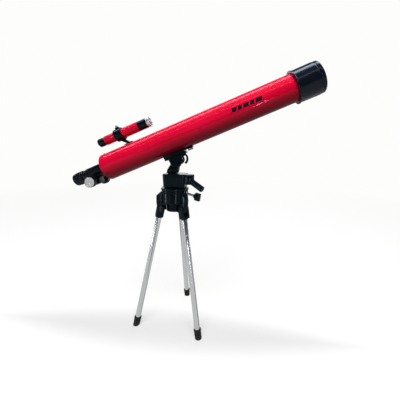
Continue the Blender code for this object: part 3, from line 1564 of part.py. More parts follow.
def make_finder_eyepiece(finder, mats):
    axis = frame("finder_eyepiece_axis", finder, at(FINDER_REAR))
    shown = -FINDER_EYEPIECE_SHOWN
    rear = shown - FINDER_EYEPIECE_LENGTH
    plug = FINDER_BORE - BORE_GAP
    bore = FINDER_EYEPIECE_BORE
    radius = FINDER_EYEPIECE_RADIUS
    outline = [
        (bore, FINDER_EYEPIECE_PLUG),
        (bore, rear + 0.0040),
        (bore + 0.0016, rear),
        *arc(radius - 0.0030, rear + 0.0030, 0.0030, -90, 0, 4),
        (radius, shown - 0.0040),
        (radius - 0.0016, shown),
        (plug, shown),
        (plug, FINDER_EYEPIECE_PLUG),
    ]
    turned("finder_eyepiece", outline, mats["black"], axis, ALONG_X, MEDIUM, closed=True)
    return axis


# ---------------------------------------------------------------- assembly
def rendered_objects():
    return [obj for obj in bpy.data.objects if obj.type == "MESH" and not obj.hide_render]


def centre_on_floor(root):
    """Moves the whole model so that the origin is the bottom centre of its box."""
    bpy.context.view_layer.update()
    graph = bpy.context.evaluated_depsgraph_get()
    corners = []
    for obj in rendered_objects():
        shown = obj.evaluated_get(graph)
        mesh = shown.to_mesh()
        corners.extend(shown.matrix_world @ vertex.co for vertex in mesh.vertices)
        shown.to_mesh_clear()
    low = [min(point[i] for point in corners) for i in range(3)]
    high = [max(point[i] for point in corners) for i in range(3)]
    root.location = (-(low[0] + high[0]) / 2, -(low[1] + high[1]) / 2, -low[2])


def main():
    for obj in list(bpy.data.objects):
        bpy.data.objects.remove(obj)
    mats = make_materials()
    root = frame("tripod_frame", None, at())
    make_shoulder(root, mats)
    for number in range(LEG_COUNT):
        make_leg(number, root, mats)
    make_pan_lock(root, mats)

    pan = frame("pan_axis", root, at())
    make_pan_body(pan, mats)
    make_handle(pan, mats)
    make_neck(pan, mats)

    tilt = frame("tilt_axis", pan, at(TILT_X, 0, TILT_HEIGHT) @ Matrix.Rotation(-ALTITUDE, 4, "Y"))
    make_platform(tilt, mats)
    make_tilt_lock(tilt, mats)
    make_platform_screw(tilt, mats)

    tube = frame("tube_frame", tilt, at(0, 0, AXIS_RISE))
    make_block(tube, mats)
    make_main_tube(tube, mats)
    make_housing_screws(tube, mats)
    make_hood(tube, mats)
    make_objective(tube, mats)
    make_dust_cap(tube, mats)
    make_focuser_housing(tube, mats)
    focus = make_drawtube(tube, mats)
    make_eyepiece_screw(focus, mats)
    make_eyepiece(focus, mats)
    make_pinion(tube, mats)
    make_bracket(tube, mats)
    make_finder(tube, mats)
    centre_on_floor(root)


main()
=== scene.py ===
"""The small red refractor on its table tripod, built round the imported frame.

Metres, +Z up, in the same frame as the CAD.
"""

import json
from math import asin, atan2, copysign, cos, degrees, hypot, pi, radians, sin, sqrt, tan

import bmesh
import bpy
from mathutils import Matrix, Vector


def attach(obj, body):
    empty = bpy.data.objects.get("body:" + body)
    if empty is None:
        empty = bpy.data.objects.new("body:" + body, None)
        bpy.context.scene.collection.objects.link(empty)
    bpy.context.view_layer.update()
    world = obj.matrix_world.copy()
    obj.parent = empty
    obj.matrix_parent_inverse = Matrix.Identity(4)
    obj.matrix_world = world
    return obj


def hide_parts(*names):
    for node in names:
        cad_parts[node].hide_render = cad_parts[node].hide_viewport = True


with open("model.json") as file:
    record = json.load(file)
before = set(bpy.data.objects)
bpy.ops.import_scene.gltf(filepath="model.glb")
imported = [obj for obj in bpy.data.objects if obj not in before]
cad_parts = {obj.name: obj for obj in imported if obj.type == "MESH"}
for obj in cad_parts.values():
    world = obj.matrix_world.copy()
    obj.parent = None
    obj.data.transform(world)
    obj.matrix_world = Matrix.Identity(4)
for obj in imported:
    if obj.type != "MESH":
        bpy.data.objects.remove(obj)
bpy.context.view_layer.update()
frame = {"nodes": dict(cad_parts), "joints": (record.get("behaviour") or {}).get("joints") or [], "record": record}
link = bpy.context.scene.collection.objects.link
record = frame["record"]
joints = {joint["name"]: joint for joint in frame["joints"]}
body_of = {node: body for body, nodes in record["behaviour"]["bodies"].items() for node in nodes}

# ---------------------------------------------------------------- places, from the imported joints
pan_x, pan_y, _ = joints["pan"]["pos_m"]
tilt_at = Vector(joints["tilt"]["pos_m"])
backwards = Vector(joints["focus_slide"]["axis"])
altitude = atan2(-backwards.z, -backwards.x)
AXIS_RISE = 0.0465
FINDER_RISE = 0.056


def at(x=0.0, y=0.0, z=0.0):
    return Matrix.Translation((x, y, z))


def turn(degrees, axis):
    return Matrix.Rotation(radians(degrees), 4, axis)


ALONG_X = turn(90, "Y")
ALONG_Y = turn(-90, "X")
ALONG_MINUS_Y = turn(90, "X")
BASE = at(pan_x, pan_y)
TILT = Matrix.Translation(tilt_at) @ Matrix.Rotation(-altitude, 4, "Y")
LEVEL = Matrix.Translation(tilt_at)
TUBE = TILT @ at(z=AXIS_RISE)
FINDER = TUBE @ at(z=FINDER_RISE)
TUBE_AXIS = TUBE @ ALONG_X
FINDER_AXIS = FINDER @ ALONG_X


def on_joint(name):
    """A place on a joint's own point, its Z axis along the joint's axis."""
    joint = joints[name]
    turned_to = Vector(joint["axis"]).to_track_quat("Z", "Y").to_matrix().to_4x4()
    return Matrix.Translation(joint["pos_m"]) @ turned_to


# ---------------------------------------------------------------- camera
eye = Vector((pan_x + 0.1355, pan_y - 0.4984, 0.4082))
yaw, pitch, roll = (radians(a) for a in (-4.7, 5.4, 1.28))
ahead = Vector((sin(yaw) * cos(pitch), cos(yaw) * cos(pitch), -sin(pitch)))
right = Vector((cos(yaw), -sin(yaw), 0))
upward = right.cross(ahead)
rolled_right = cos(roll) * right + sin(roll) * upward
rolled_up = cos(roll) * upward - sin(roll) * right
camera_data = bpy.data.cameras.new("camera")
camera_data.sensor_width = 36
camera_data.lens = 20.42
camera_data.shift_x = -0.0425
camera_data.shift_y = -0.08
camera_data.clip_start = 0.01
camera = bpy.data.objects.new("camera", camera_data)
aim = Matrix((rolled_right, rolled_up, -ahead)).transposed().to_4x4()
camera.matrix_world = Matrix.Translation(eye) @ aim
link(camera)
bpy.context.scene.camera = camera


# ---------------------------------------------------------------- materials
def preset(node, **values):
    """Sets a node's own sockets; an underscore stands for a space."""
    for name, value in values.items():
        node.inputs[name.replace("_", " ")].default_value = value


class Paint:
    """A node material, its shader and a few helpers."""

    def __init__(self, name):
        self.made = bpy.data.materials.new(name)
        self.made.use_nodes = True
        self.tree = self.made.node_tree
        self.shader = self.tree.nodes["Principled BSDF"]
        self.place = self.node("ShaderNodeTexCoord").outputs["Object"]

    def node(self, kind, **settings):
        made = self.tree.nodes.new(kind)
        for name, value in settings.items():
            setattr(made, name, value)
        return made

    def link(self, source, target):
        self.tree.links.new(source, target)

    def noise(self, scale, detail=4.0, stretch=None, distortion=0.0):
        made = self.node("ShaderNodeTexNoise")
        preset(made, Scale=scale, Detail=detail, Distortion=distortion)
        if stretch:
            mapping = self.node("ShaderNodeMapping")
            mapping.inputs["Scale"].default_value = stretch
            self.link(self.place, mapping.inputs["Vector"])
            self.link(mapping.outputs["Vector"], made.inputs["Vector"])
        else:
            self.link(self.place, made.inputs["Vector"])
        return made.outputs["Fac"]

    def spread(self, source, low, high, start=0.0, end=1.0, **settings):
        made = self.node("ShaderNodeMapRange", **settings)
        preset(made, From_Min=start, From_Max=end, To_Min=low, To_Max=high)
        self.link(source, made.inputs["Value"])
        return made.outputs["Result"]

    def maths(self, operation, first, second):
        made = self.node("ShaderNodeMath", operation=operation)
        for number, value in enumerate((first, second)):
            if isinstance(value, (int, float)):
                made.inputs[number].default_value = value
            else:
                self.link(value, made.inputs[number])
        return made.outputs["Value"]

    def blend(self, amount, first, second):
        made = self.node("ShaderNodeMix", data_type="RGBA")
        self.link(amount, made.inputs["Factor"])
        for socket, value in (("A", first), ("B", second)):
            target = [s for s in made.inputs if s.name == socket and s.type == "RGBA"][0]
            if isinstance(value, tuple):
                target.default_value = (*value, 1.0)
            else:
                self.link(value, target)
        return [s for s in made.outputs if s.type == "RGBA"][0]

    def layer(self, amount, share, colour, other):
        return self.blend(self.maths("MULTIPLY", amount, share), colour, other)

    def edges(self, start=0.53, end=0.62):
        """How much a point stands on a sharp edge, 0 to 1; the materials lighten their colour there."""
        return self.spread(self.node("ShaderNodeNewGeometry").outputs["Pointiness"], 0.0, 1.0, start, end)

    def bump(self, height, strength, distance=0.0002, before=None):
        made = self.node("ShaderNodeBump")
        preset(made, Strength=strength, Distance=distance)
        self.link(height, made.inputs["Height"])
        if before is not None:
            self.link(before, made.inputs["Normal"])
        return made.outputs["Normal"]

    def finish(self, colour=None, roughness=None, normal=None, coat_normal=None, **constants):
        for socket, source in (
            ("Base Color", colour), ("Roughness", roughness), ("Normal", normal), ("Coat Normal", coat_normal)
        ):
            if source is not None:
                self.link(source, self.shader.inputs[socket])
        preset(self.shader, **constants)
        return self.made


def enamel():
    paint = Paint("red_enamel")
    cloud = paint.noise(14, 3)
    colour = paint.blend(paint.spread(cloud, 0, 1, 0.3, 0.7), (0.83, 0.0012, 0.04), (0.76, 0.0008, 0.032))
    specks = paint.spread(paint.noise(900, 1), 0, 1, 0.74, 0.8)
    colour = paint.layer(specks, 0.4, colour, (0.62, 0.001, 0.026))
    # Sharp edges lightened to a paler pink: a painted highlight along rims and edges.
    colour = paint.layer(paint.edges(0.56, 0.7), 0.5, colour, (0.86, 0.1, 0.14))
    peel = paint.bump(paint.noise(26, 1), 0.05, 0.0006)
    roughness = paint.spread(paint.noise(40, 3), 0.28, 0.36)
    return paint.finish(
        colour, roughness, peel, peel, Coat_Weight=0.25, Coat_Roughness=0.06, Specular_IOR_Level=0.04
    )


def gloss_black():
    paint = Paint("gloss_black")
    colour = paint.blend(paint.noise(25, 4), (0.0035, 0.005, 0.011), (0.007, 0.009, 0.017))
    # Sharp edges lightened to grey: a painted highlight.
    colour = paint.layer(paint.edges(), 0.6, colour, (0.055, 0.06, 0.07))
    ripple = paint.bump(paint.noise(26, 1), 0.05, 0.0006)
    roughness = paint.spread(paint.noise(40, 3), 0.16, 0.24)
    tint = (0.72, 0.84, 1.0, 1)
    return paint.finish(colour, roughness, ripple, Specular_IOR_Level=0.3, Specular_Tint=tint)


def moulded(name, dark, light, smooth, rough, shine):
    paint = Paint(name)
    colour = paint.blend(paint.spread(paint.noise(55, 5), 0, 1, 0.3, 0.7), dark, light)
    scuffs = paint.spread(paint.noise(210, 8, stretch=(1, 1, 3), distortion=1.2), 0, 1, 0.6, 0.74)
    # pale is lighter than the plastic. The stretched scuffs below are wear; the lightened sharp edges are a
    # painted rim highlight.
    pale = tuple(min(1.0, channel * 3.0 + 0.008) for channel in light)
    colour = paint.layer(scuffs, 0.3, colour, pale)
    colour = paint.layer(paint.edges(), 0.55, colour, pale)
    bump = paint.bump(paint.noise(1600, 2), 0.25, 0.00006)
    bump = paint.bump(paint.noise(40, 1), 0.1, 0.0006, bump)
    roughness = paint.spread(paint.noise(120, 6), smooth, rough, 0.25, 0.75)
    tint = (0.7, 0.86, 1.0, 1)
    return paint.finish(colour, roughness, bump, Specular_IOR_Level=shine, Specular_Tint=tint)


def chrome():
    paint = Paint("bright_chrome")
    colour = paint.blend(paint.noise(30, 5, stretch=(14, 14, 1)), (0.84, 0.85, 0.86), (0.7, 0.71, 0.72))
    # Long dark streaks along the piece's Z axis: painted reflection, the dark bands that the bright chrome shows.
    painted_reflection_streaks = paint.spread(paint.noise(30, 1, stretch=(9, 9, 0.12)), 0, 1, 0.5, 0.58)
    colour = paint.layer(painted_reflection_streaks, 0.72, colour, (0.1, 0.1, 0.11))
    pits = paint.spread(paint.noise(1500, 2), 0, 1, 0.72, 0.78)
    colour = paint.layer(pits, 0.4, colour, (0.34, 0.32, 0.3))
    roughness = paint.spread(paint.noise(45, 4, stretch=(3, 3, 1)), 0.15, 0.24, 0.3, 0.7)
    return paint.finish(colour, roughness, Metallic=1.0)


def spun():
    """Metal turned on a lathe about the piece's own Z axis: fine rings in both colour and relief."""
    paint = Paint("spun_metal")
    parts = paint.node("ShaderNodeSeparateXYZ")
    paint.link(paint.place, parts.inputs["Vector"])
    squares = [paint.maths("POWER", parts.outputs[axis], 2) for axis in "XY"]
    radius = paint.maths("SQRT", paint.maths("ADD", *squares), 0)
    rings = paint.node("ShaderNodeTexNoise", noise_dimensions="1D")
    preset(rings, Scale=5200, Detail=5)
    paint.link(radius, rings.inputs["W"])
    marks = rings.outputs["Fac"]
    colour = paint.blend(paint.spread(marks, 0, 1, 0.3, 0.7), (0.86, 0.87, 0.88), (0.58, 0.59, 0.6))
    roughness = paint.spread(marks, 0.18, 0.38)
    normal = paint.bump(marks, 0.3, 0.00006)
    tangent = paint.node("ShaderNodeTangent", direction_type="RADIAL", axis="Z")
    paint.link(tangent.outputs["Tangent"], paint.shader.inputs["Tangent"])
    return paint.finish(colour, roughness, normal, Metallic=1.0, Anisotropic=0.75)


def metal(name, bright, dull, smooth, rough):
    paint = Paint(name)
    colour = paint.blend(paint.spread(paint.noise(220, 6), 0, 1, 0.3, 0.7), bright, dull)
    colour = paint.blend(paint.edges(), colour, tuple(min(1.0, 1.35 * c) for c in bright))
    roughness = paint.spread(paint.noise(400, 4), smooth, rough)
    normal = paint.bump(paint.noise(1800, 2, stretch=(1, 1, 0.1)), 0.12, 0.0001)
    return paint.finish(colour, roughness, normal, Metallic=1.0)


def rubber():
    paint = Paint("foot_rubber")
    dust = paint.spread(paint.noise(160, 8), 0, 1, 0.52, 0.72)
    colour = paint.blend(dust, (0.01, 0.01, 0.011), (0.045, 0.044, 0.042))
    bump = paint.bump(paint.noise(1300, 4), 0.35, 0.0002)
    roughness = paint.spread(dust, 0.55, 0.85)
    return paint.finish(colour, roughness, bump, Specular_IOR_Level=0.3)


def glass():
    paint = Paint("coated_glass")
    colour = paint.blend(paint.noise(90, 3), (0.66, 0.72, 0.92), (0.84, 0.8, 0.95))
    roughness = paint.spread(paint.noise(300, 4), 0.01, 0.05)
    return paint.finish(colour, roughness, Transmission_Weight=1.0, IOR=1.52)


def printed():
    """Black print on the enamel."""
    paint = Paint("plain_print")
    colour = paint.blend(paint.noise(500, 5), (0.006, 0.004, 0.008), (0.022, 0.008, 0.018))
    roughness = paint.spread(paint.noise(700, 3), 0.22, 0.34)
    return paint.finish(colour, roughness, Specular_IOR_Level=0.4)


RED = enamel()
HOOD = gloss_black()
HEAD, LEVER, FOCUSER, EYEPIECE = (moulded(*look) for look in (
    ("head_plastic", (0.001, 0.0046, 0.0066), (0.0026, 0.007, 0.0092), 0.15, 0.25, 0.15),
    ("lever_plastic", (0.0012, 0.0034, 0.005), (0.0028, 0.0052, 0.007), 0.14, 0.24, 0.2),
    ("focuser_plastic", (0.0014, 0.0024, 0.0036), (0.0034, 0.0046, 0.006), 0.16, 0.26, 0.2),
    ("eyepiece_plastic", (0.0014, 0.0022, 0.0032), (0.0034, 0.0044, 0.0056), 0.14, 0.24, 0.24),
))
CHROME = chrome()
SPUN = spun()
STEEL = metal("screw_steel", (0.5, 0.5, 0.5), (0.34, 0.33, 0.32), 0.26, 0.42)
DARK_STEEL = metal("dark_steel", (0.06, 0.06, 0.064), (0.03, 0.03, 0.032), 0.3, 0.46)
BRASS = metal("rack_brass", (0.22, 0.16, 0.08), (0.13, 0.09, 0.045), 0.34, 0.5)
SATIN = metal("satin_ring", (0.86, 0.86, 0.87), (0.7, 0.7, 0.71), 0.3, 0.44)
BLACKED = metal("blacked_tube", (0.045, 0.048, 0.054), (0.022, 0.024, 0.028), 0.22, 0.34)
RUBBER = rubber()
GLASS = glass()
PRINT = printed()


# ---------------------------------------------------------------- shape helpers
def fillet(outline, radius, steps=3, closed=True, least=12):
    """Rounds the corners of an outline of (x, y) points. Corners flatter than least degrees stay."""
    points = [Vector(p) for p in outline]
    made = []
    count = len(points)
    for number, corner in enumerate(points):
        if not closed and number in (0, count - 1):
            made.append(tuple(corner))
            continue
        before = points[number - 1] - corner
        after = points[(number + 1) % count] - corner
        if min(before.length, after.length) < 1e-7:
            made.append(tuple(corner))
            continue
        bend = pi - before.angle(after)
        if bend < radians(least):
            made.append(tuple(corner))
            continue
        reach = min(radius * tan(bend / 2), 0.45 * before.length, 0.45 * after.length)
        start = corner + before.normalized() * reach
        end = corner + after.normalized() * reach
        for step in range(steps + 1):
            t = step / steps
            made.append(tuple((1 - t) ** 2 * start + 2 * t * (1 - t) * corner + t**2 * end))
    return made


def arc(cx, cy, radius, start, end, steps):
    angles = [radians(start + (end - start) * step / steps) for step in range(steps + 1)]
    return [(cx + radius * cos(a), cy + radius * sin(a)) for a in angles]


def as_object(name, bm, place, smooth=35):
    bmesh.ops.recalc_face_normals(bm, faces=bm.faces)
    mesh = bpy.data.meshes.new(name)
    bm.to_mesh(mesh)
    bm.free()
    mesh.shade_smooth()
    mesh.set_sharp_from_angle(angle=radians(smooth))
    obj = bpy.data.objects.new(name, mesh)
    link(obj)
    obj.matrix_world = place
    return obj


def lathe(name, outline, place, segments=96, round_to=0.0003, wave=None, smooth=35):
    """A body of revolution about Z, from (radius, height) points.

    An outline that starts and ends on the axis is solid, any other is closed on itself.
    wave(angle, radius, height) gives the radius a point really has.
    """
    solid = outline[0][0] <= 0
    points = fillet(outline, round_to, closed=not solid) if round_to else outline
    bm = bmesh.new()
    rings = []
    for radius, height in points:
        if radius <= 0:
            rings.append([bm.verts.new((0, 0, height))])
            continue
        ring = []
        for step in range(segments):
            angle = 2 * pi * step / segments
            real = wave(angle, radius, height) if wave else radius
            ring.append(bm.verts.new((real * cos(angle), real * sin(angle), height)))
        rings.append(ring)
    following = rings[1:] + ([] if solid else rings[:1])
    for low, high in zip(rings, following):
        for step in range(segments):
            after = (step + 1) % segments
            corners = [ring[number % len(ring)] for ring, number in (
                (low, step), (low, after), (high, after), (high, step)
            )]
            corners = list(dict.fromkeys(corners))
            if len(corners) > 2:
                bm.faces.new(corners)
    return as_object(name, bm, place, smooth)


def ribs(count, depth, low, high, least):
    """A wave for lathe: count ribs between two heights, on points beyond a radius."""

    def wave(angle, radius, height):
        if radius < least or not low - 1e-9 <= height <= high + 1e-9:
            return radius
        fade = min(1.0, (height - low) / 0.0006, (high - height) / 0.0006)
        return radius - depth * max(0.0, fade) * (0.5 - 0.5 * cos(count * angle)) ** 0.7

    return wave


def side_points(low, high, radius, steps=6):
    """Points along a straight side, so that a wave has something to bend."""
    return [(radius, low + (high - low) * step / steps) for step in range(steps + 1)]


def prism(name, outline, low, high, place, bevel=0.0006, segments=2):
    """An outline in XZ, pulled along Y from low to high, its edges rounded."""
    bm = bmesh.new()
    near = [bm.verts.new((x, low, z)) for x, z in outline]
    far = [bm.verts.new((x, high, z)) for x, z in outline]
    bm.faces.new(near)
    bm.faces.new(far)
    for step in range(len(outline)):
        after = (step + 1) % len(outline)
        bm.faces.new([near[step], near[after], far[after], far[step]])
    bmesh.ops.recalc_face_normals(bm, faces=bm.faces)
    if bevel:
        sharp = [e for e in bm.edges if e.calc_face_angle(0) > radians(28)]
        bmesh.ops.bevel(
            bm, geom=sharp, offset=bevel, segments=segments, profile=0.5, affect="EDGES", clamp_overlap=True
        )
    return as_object(name, bm, place, 50)


def block(name, low, high, place, corner=0.0, edge=0.0006, shape=None, corner_steps=5, edge_steps=3):
    """A box with rounded upright edges and rounded top and bottom edges."""
    bm = bmesh.new()
    bmesh.ops.create_cube(bm, size=1.0)
    size = Vector(high) - Vector(low)
    middle = (Vector(high) + Vector(low)) / 2
    bmesh.ops.transform(bm, matrix=Matrix.Translation(middle) @ Matrix.Diagonal((*size, 1)), verts=bm.verts)
    if corner:
        upright = [e for e in bm.edges if abs((e.verts[0].co - e.verts[1].co).z) > size.z / 2]
        bmesh.ops.bevel(bm, geom=upright, offset=corner, segments=corner_steps, profile=0.5, affect="EDGES")
    if edge:
        flat = [e for e in bm.edges if abs((e.verts[0].co - e.verts[1].co).z) < size.z / 1000]
        flat = flat if corner else list(bm.edges)
        bmesh.ops.bevel(bm, geom=flat, offset=edge, segments=edge_steps, profile=0.5, affect="EDGES")
    if shape:
        for vert in bm.verts:
            vert.co = shape(vert.co.copy())
    return as_object(name, bm, place, 50)


def settle(obj, smooth=40):
    """Applies the modifiers, so that the piece is a plain mesh."""
    graph = bpy.context.evaluated_depsgraph_get()
    mesh = bpy.data.meshes.new_from_object(obj.evaluated_get(graph))
    obj.modifiers.clear()
    old = obj.data
    obj.data = mesh
    bpy.data.meshes.remove(old)
    mesh.shade_smooth()
    mesh.set_sharp_from_angle(angle=radians(smooth))
    return obj


def combine(obj, operation, others):
    for other in others:
        step = obj.modifiers.new("step", "BOOLEAN")
        step.operation = operation
        step.object = other
        step.solver = "EXACT"
    bpy.context.view_layer.update()
    settle(obj)
    for other in others:
        bpy.data.objects.remove(other)
    return obj


def join(obj, *others):
    return combine(obj, "UNION", others)


def carve(obj, *others):
    return combine(obj, "DIFFERENCE", others)


def stands_for(obj, node, paint):
    """The finished piece of a CAD node: same body, the given material, and the node itself hidden."""
    obj.data.materials.clear()
    obj.data.materials.append(paint)
    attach(obj, body_of[node])
    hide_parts(node)
    return obj


def added(obj, like, paint):
    """A small piece that the CAD leaves out, riding with a CAD node's body."""
    obj.data.materials.clear()
    obj.data.materials.append(paint)
    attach(obj, body_of[like])
    return obj


def blacken_inside(obj):
    """The wall that faces the tube's own axis gets the dull black of the fittings."""
    obj.data.materials.append(EYEPIECE)
    for face in obj.data.polygons:
        if face.normal.xy.dot(face.center.xy) < -0.5 * face.center.xy.length:
            face.material_index = 1


def rod(radius, low, high):
    return [(0, low), (radius, low), (radius, high), (0, high)]


def drill(place, radius, low, high, segments=40):
    """A round cutter along a place's own Z axis."""
    return lathe("drill", rod(radius, low, high), place, segments, round_to=0)


def tube_outline(outer, inner, low, high):
    return [(inner, low), (outer, low), (outer, high), (inner, high)]


def raised(level, *points):
    """(radius, height) points whose heights are counted from a level."""
    return [(radius, level + height) for radius, height in points]


def turned(node, paint, name, outline, place, segments, **options):
    """A lathed piece that stands for a CAD node."""
    return stands_for(lathe(name, outline, place, segments, **options), node, paint)


# ---------------------------------------------------------------- tripod
SHOULDER_TOP, SHOULDER_BOTTOM, HUB_BOTTOM = 0.3088, 0.2815, 0.262
HINGE_RADIUS, HINGE_HEIGHT, FOOT_RADIUS = 0.032, 0.265, 0.0856
LEG_SPREAD = atan2(FOOT_RADIUS - HINGE_RADIUS, HINGE_HEIGHT)
LEG_LENGTH = hypot(FOOT_RADIUS - HINGE_RADIUS, HINGE_HEIGHT)


def leg_places(number):
    joint = joints[f"leg_{number}_fold"]
    azimuth = atan2(-joint["axis"][0], joint["axis"][1])
    lug = Matrix.Translation(joint["pos_m"]) @ Matrix.Rotation(azimuth, 4, "Z")
    return lug, lug @ Matrix.Rotation(-LEG_SPREAD, 4, "Y")


def make_shoulder():
    outline = [
        (0.0043, SHOULDER_TOP), (0.0043, 0.29), (0.015, 0.29), (0.015, HUB_BOTTOM), (0.0185, HUB_BOTTOM),
        *raised(SHOULDER_BOTTOM, (0.0185, 0), (0.0308, 0), (0.0308, 0.0022), (0.0297, 0.003)),
        (0.0297, 0.304), (0.0292, 0.3044), (0.0292, 0.3051),
        (0.0298, 0.3055), (0.0298, SHOULDER_TOP),
    ]
    shoulder = lathe("shoulder", outline, BASE, 128, round_to=0.0006)
    top, under = SHOULDER_TOP - 0.001 - HINGE_HEIGHT, SHOULDER_BOTTOM - HINGE_HEIGHT
    shape = [
        (-0.013, top), (-0.0042, top), (0.009, top - 0.0115), (0.009, under),
        *arc(0, 0, 0.007, 0, -180, 18), (-0.013, 0.0), (-0.013, under),
    ]
    lugs = [prism("lug", shape, -0.00575, 0.00575, leg_places(n)[0], 0.0007, 3) for n in (1, 2, 3)]
    join(shoulder, *lugs)
    well = drill(BASE, 0.015, 0.24, 0.29, 64)
    bores = [drill(leg_places(n)[0] @ ALONG_Y, 0.0021, -0.02, 0.02, 24) for n in (1, 2, 3)]
    lock = drill(on_joint("pan_lock_turn"), 0.0031, 0.0222, 0.053, 32)
    carve(shoulder, well, lock, *bores)
    stands_for(shoulder, "tripod_shoulder", HEAD)
    collar = [
        (0.0043, 0.3091), (0.0302, 0.3091), (0.0308, 0.3097),
        (0.0308, 0.314), (0.0302, 0.3146), (0.0043, 0.3146),
    ]
    turned("pan_collar", HEAD, "collar", collar, BASE, 180, round_to=0.0005)


def make_leg(number):
    lug, leg = leg_places(number)
    cap = block("cap", (-0.009, -0.01, -0.016), (0.009, 0.01, 0.01), leg, 0.004, 0.0018, None, 6, 4)
    slot = block("slot", (-0.03, -0.00605, -0.0085), (0.03, 0.00605, 0.03), leg, 0, 0)
    bore = drill(leg @ ALONG_Y, 0.0021, -0.02, 0.02, 24)
    socket = drill(leg, 0.0063, -0.03, -0.0087, 48)
    carve(cap, slot, bore, socket)
    stands_for(cap, f"leg_{number}_cap", HEAD)
    band = [(0.0063, -0.0162), (0.0078, -0.0162), (0.0078, -0.0176), (0.0063, -0.018)]
    added(lathe(f"leg_{number}_collar", band, leg, 64, round_to=0.0003), f"leg_{number}_cap", HEAD)
    tube = tube_outline(0.006, 0.0052, -LEG_LENGTH + 0.0043, -0.009)
    turned(f"leg_{number}_tube", CHROME, "leg", tube, leg, 64, round_to=0.0002)
    pin = [
        (0, -0.011), (0.002, -0.011), (0.0028, -0.0104), (0.0028, -0.0103), (0.0018, -0.0103),
        (0.0018, 0.0103), (0.0028, 0.0103), (0.0028, 0.0104), (0.002, 0.011), (0, 0.011),
    ]
    turned(f"leg_{number}_pin", DARK_STEEL, "pin", pin, lug @ ALONG_Y, 32, round_to=0.0002)
    make_foot(number, leg)


def make_foot(number, leg):
    top, floor = -LEG_LENGTH + 0.0184, -LEG_LENGTH + 0.004
    side = [(0.0079, top), (0.0079, top - 0.0026), (0.0072, top - 0.004)]
    for step in range(3):
        level = top - 0.0046 - 0.0026 * step
        side += raised(level, (0.007, 0), (0.0074, -0.0006), (0.0074, -0.0014), (0.007, -0.002))
    outline = [
        (0, floor), (0.0063, floor), (0.0063, top), *side,
        *raised(-LEG_LENGTH, (0.0071, 0.0038), (0.0072, 0.003), (0.0072, -0.0018), (0, -0.0018)),
    ]
    foot = lathe("foot", outline, leg, 64, round_to=0.0003)
    bm = bmesh.new()
    bm.from_mesh(foot.data)
    normal = Vector((-sin(LEG_SPREAD), 0, -cos(LEG_SPREAD)))
    everything = bm.verts[:] + bm.edges[:] + bm.faces[:]
    cut = bmesh.ops.bisect_plane(
        bm, geom=everything, plane_co=(0, 0, -LEG_LENGTH), plane_no=normal, clear_outer=True
    )
    bmesh.ops.edgeloop_fill(bm, edges=[e for e in cut["geom_cut"] if isinstance(e, bmesh.types.BMEdge)])
    bm.to_mesh(foot.data)
    bm.free()
    foot.data.shade_smooth()
    foot.data.set_sharp_from_angle(angle=radians(40))
    stands_for(foot, f"leg_{number}_foot", RUBBER)


def threaded(radius, low, high, pitch=0.0008, depth=0.00025):
    """One side of a threaded rod, as rings."""
    points = [(radius - depth, low)]
    level = low + pitch / 2
    while level < high - pitch:
        points += [(radius, level + pitch * 0.25), (radius - depth, level + pitch * 0.75)]
        level += pitch
    return [*points, (radius - depth, high)]


def make_pan_lock():
    place = on_joint("pan_lock_turn")
    shaft = [(0, 0.0225), *threaded(0.0028, 0.0226, 0.046), (0.0028, 0.0465), (0.0028, 0.0609), (0, 0.0609)]
    turned("pan_lock_screw", CHROME, "lock_shaft", shaft, place, 40, round_to=0.0001)
    hub = lathe("lock_hub", rod(0.0052, 0.0525, 0.0665), place, 64, round_to=0.0012)
    bar = block(
        "lock_bar", (-0.00425, -0.0086, 0.0549), (0.00425, 0.0086, 0.0671), place, 0.0024, 0.0014, None, 5, 3
    )
    join(hub, bar)
    carve(hub, drill(place, 0.0031, 0.043, 0.0612, 32))
    stands_for(hub, "pan_lock_knob", LEVER)


# ---------------------------------------------------------------- pan head
PAN_BOTTOM, PAN_TOP = 0.3151, 0.3461


def make_pan_body():
    def taper(co):
        drop = (PAN_TOP - co.z) / (PAN_TOP - PAN_BOTTOM)
        co.x -= copysign(0.0016 * drop, co.x - 0.0015)
        co.y -= copysign(0.0016 * drop, co.y)
        return co

    low, high = (0.0015 - 0.0255, -0.021, PAN_BOTTOM), (0.0015 + 0.0255, 0.021, PAN_TOP)
    body = block("casing", low, high, BASE, 0.006, 0.0026, taper, 8, 5)
    outwards = Matrix.Rotation(radians(-15), 4, "Z")
    top = PAN_TOP - 0.0003
    boss = lathe("boss", rod(0.0108, top - 0.022, top), BASE @ outwards @ at(0.036), 64, round_to=0.0014)
    low, high = (0, -0.01, top - 0.0215), (0.036, 0.01, top - 0.0008)
    bridge = block("bridge", low, high, BASE @ outwards, 0, 0.001)
    join(body, bridge, boss)
    handle = on_joint("pan_handle_turn")
    cutters = [
        drill(BASE, 0.0043, 0.3, 0.3334),
        drill(handle, 0.0033, 0.0007, 0.02, 32),
        drill(handle, 0.0071, 0.0092, 0.09, 48),
    ]
    for side in (-1, 1):
        edge = side * 0.0199
        panel = block(
            "panel", (-0.0165, min(edge, side * 0.03), 0.3215), (0.0165, max(edge, side * 0.03), 0.34),
            BASE, 0, 0.0008,
        )
        cutters.append(panel)
    carve(body, *cutters)
    stands_for(body, "pan_body", HEAD)


def make_handle():
    place = on_joint("pan_handle_turn")
    radius, tip = 0.0068, 0.0405
    outline = [
        (0, 0.0218), (0.0033, 0.0218), (0.0033, 0.0095), (radius - 0.0008, 0.0095), (radius, 0.0103),
        *side_points(0.0106, tip - 0.0032, radius, 8), *arc(radius - 0.0024, tip - 0.0024, 0.0024, 0, 90, 6),
        (0, tip),
    ]
    wave = ribs(14, 0.0006, 0.0104, tip - 0.003, radius - 0.0002)
    turned("pan_handle_grip", LEVER, "grip", outline, place, 168, round_to=0, wave=wave, smooth=60)


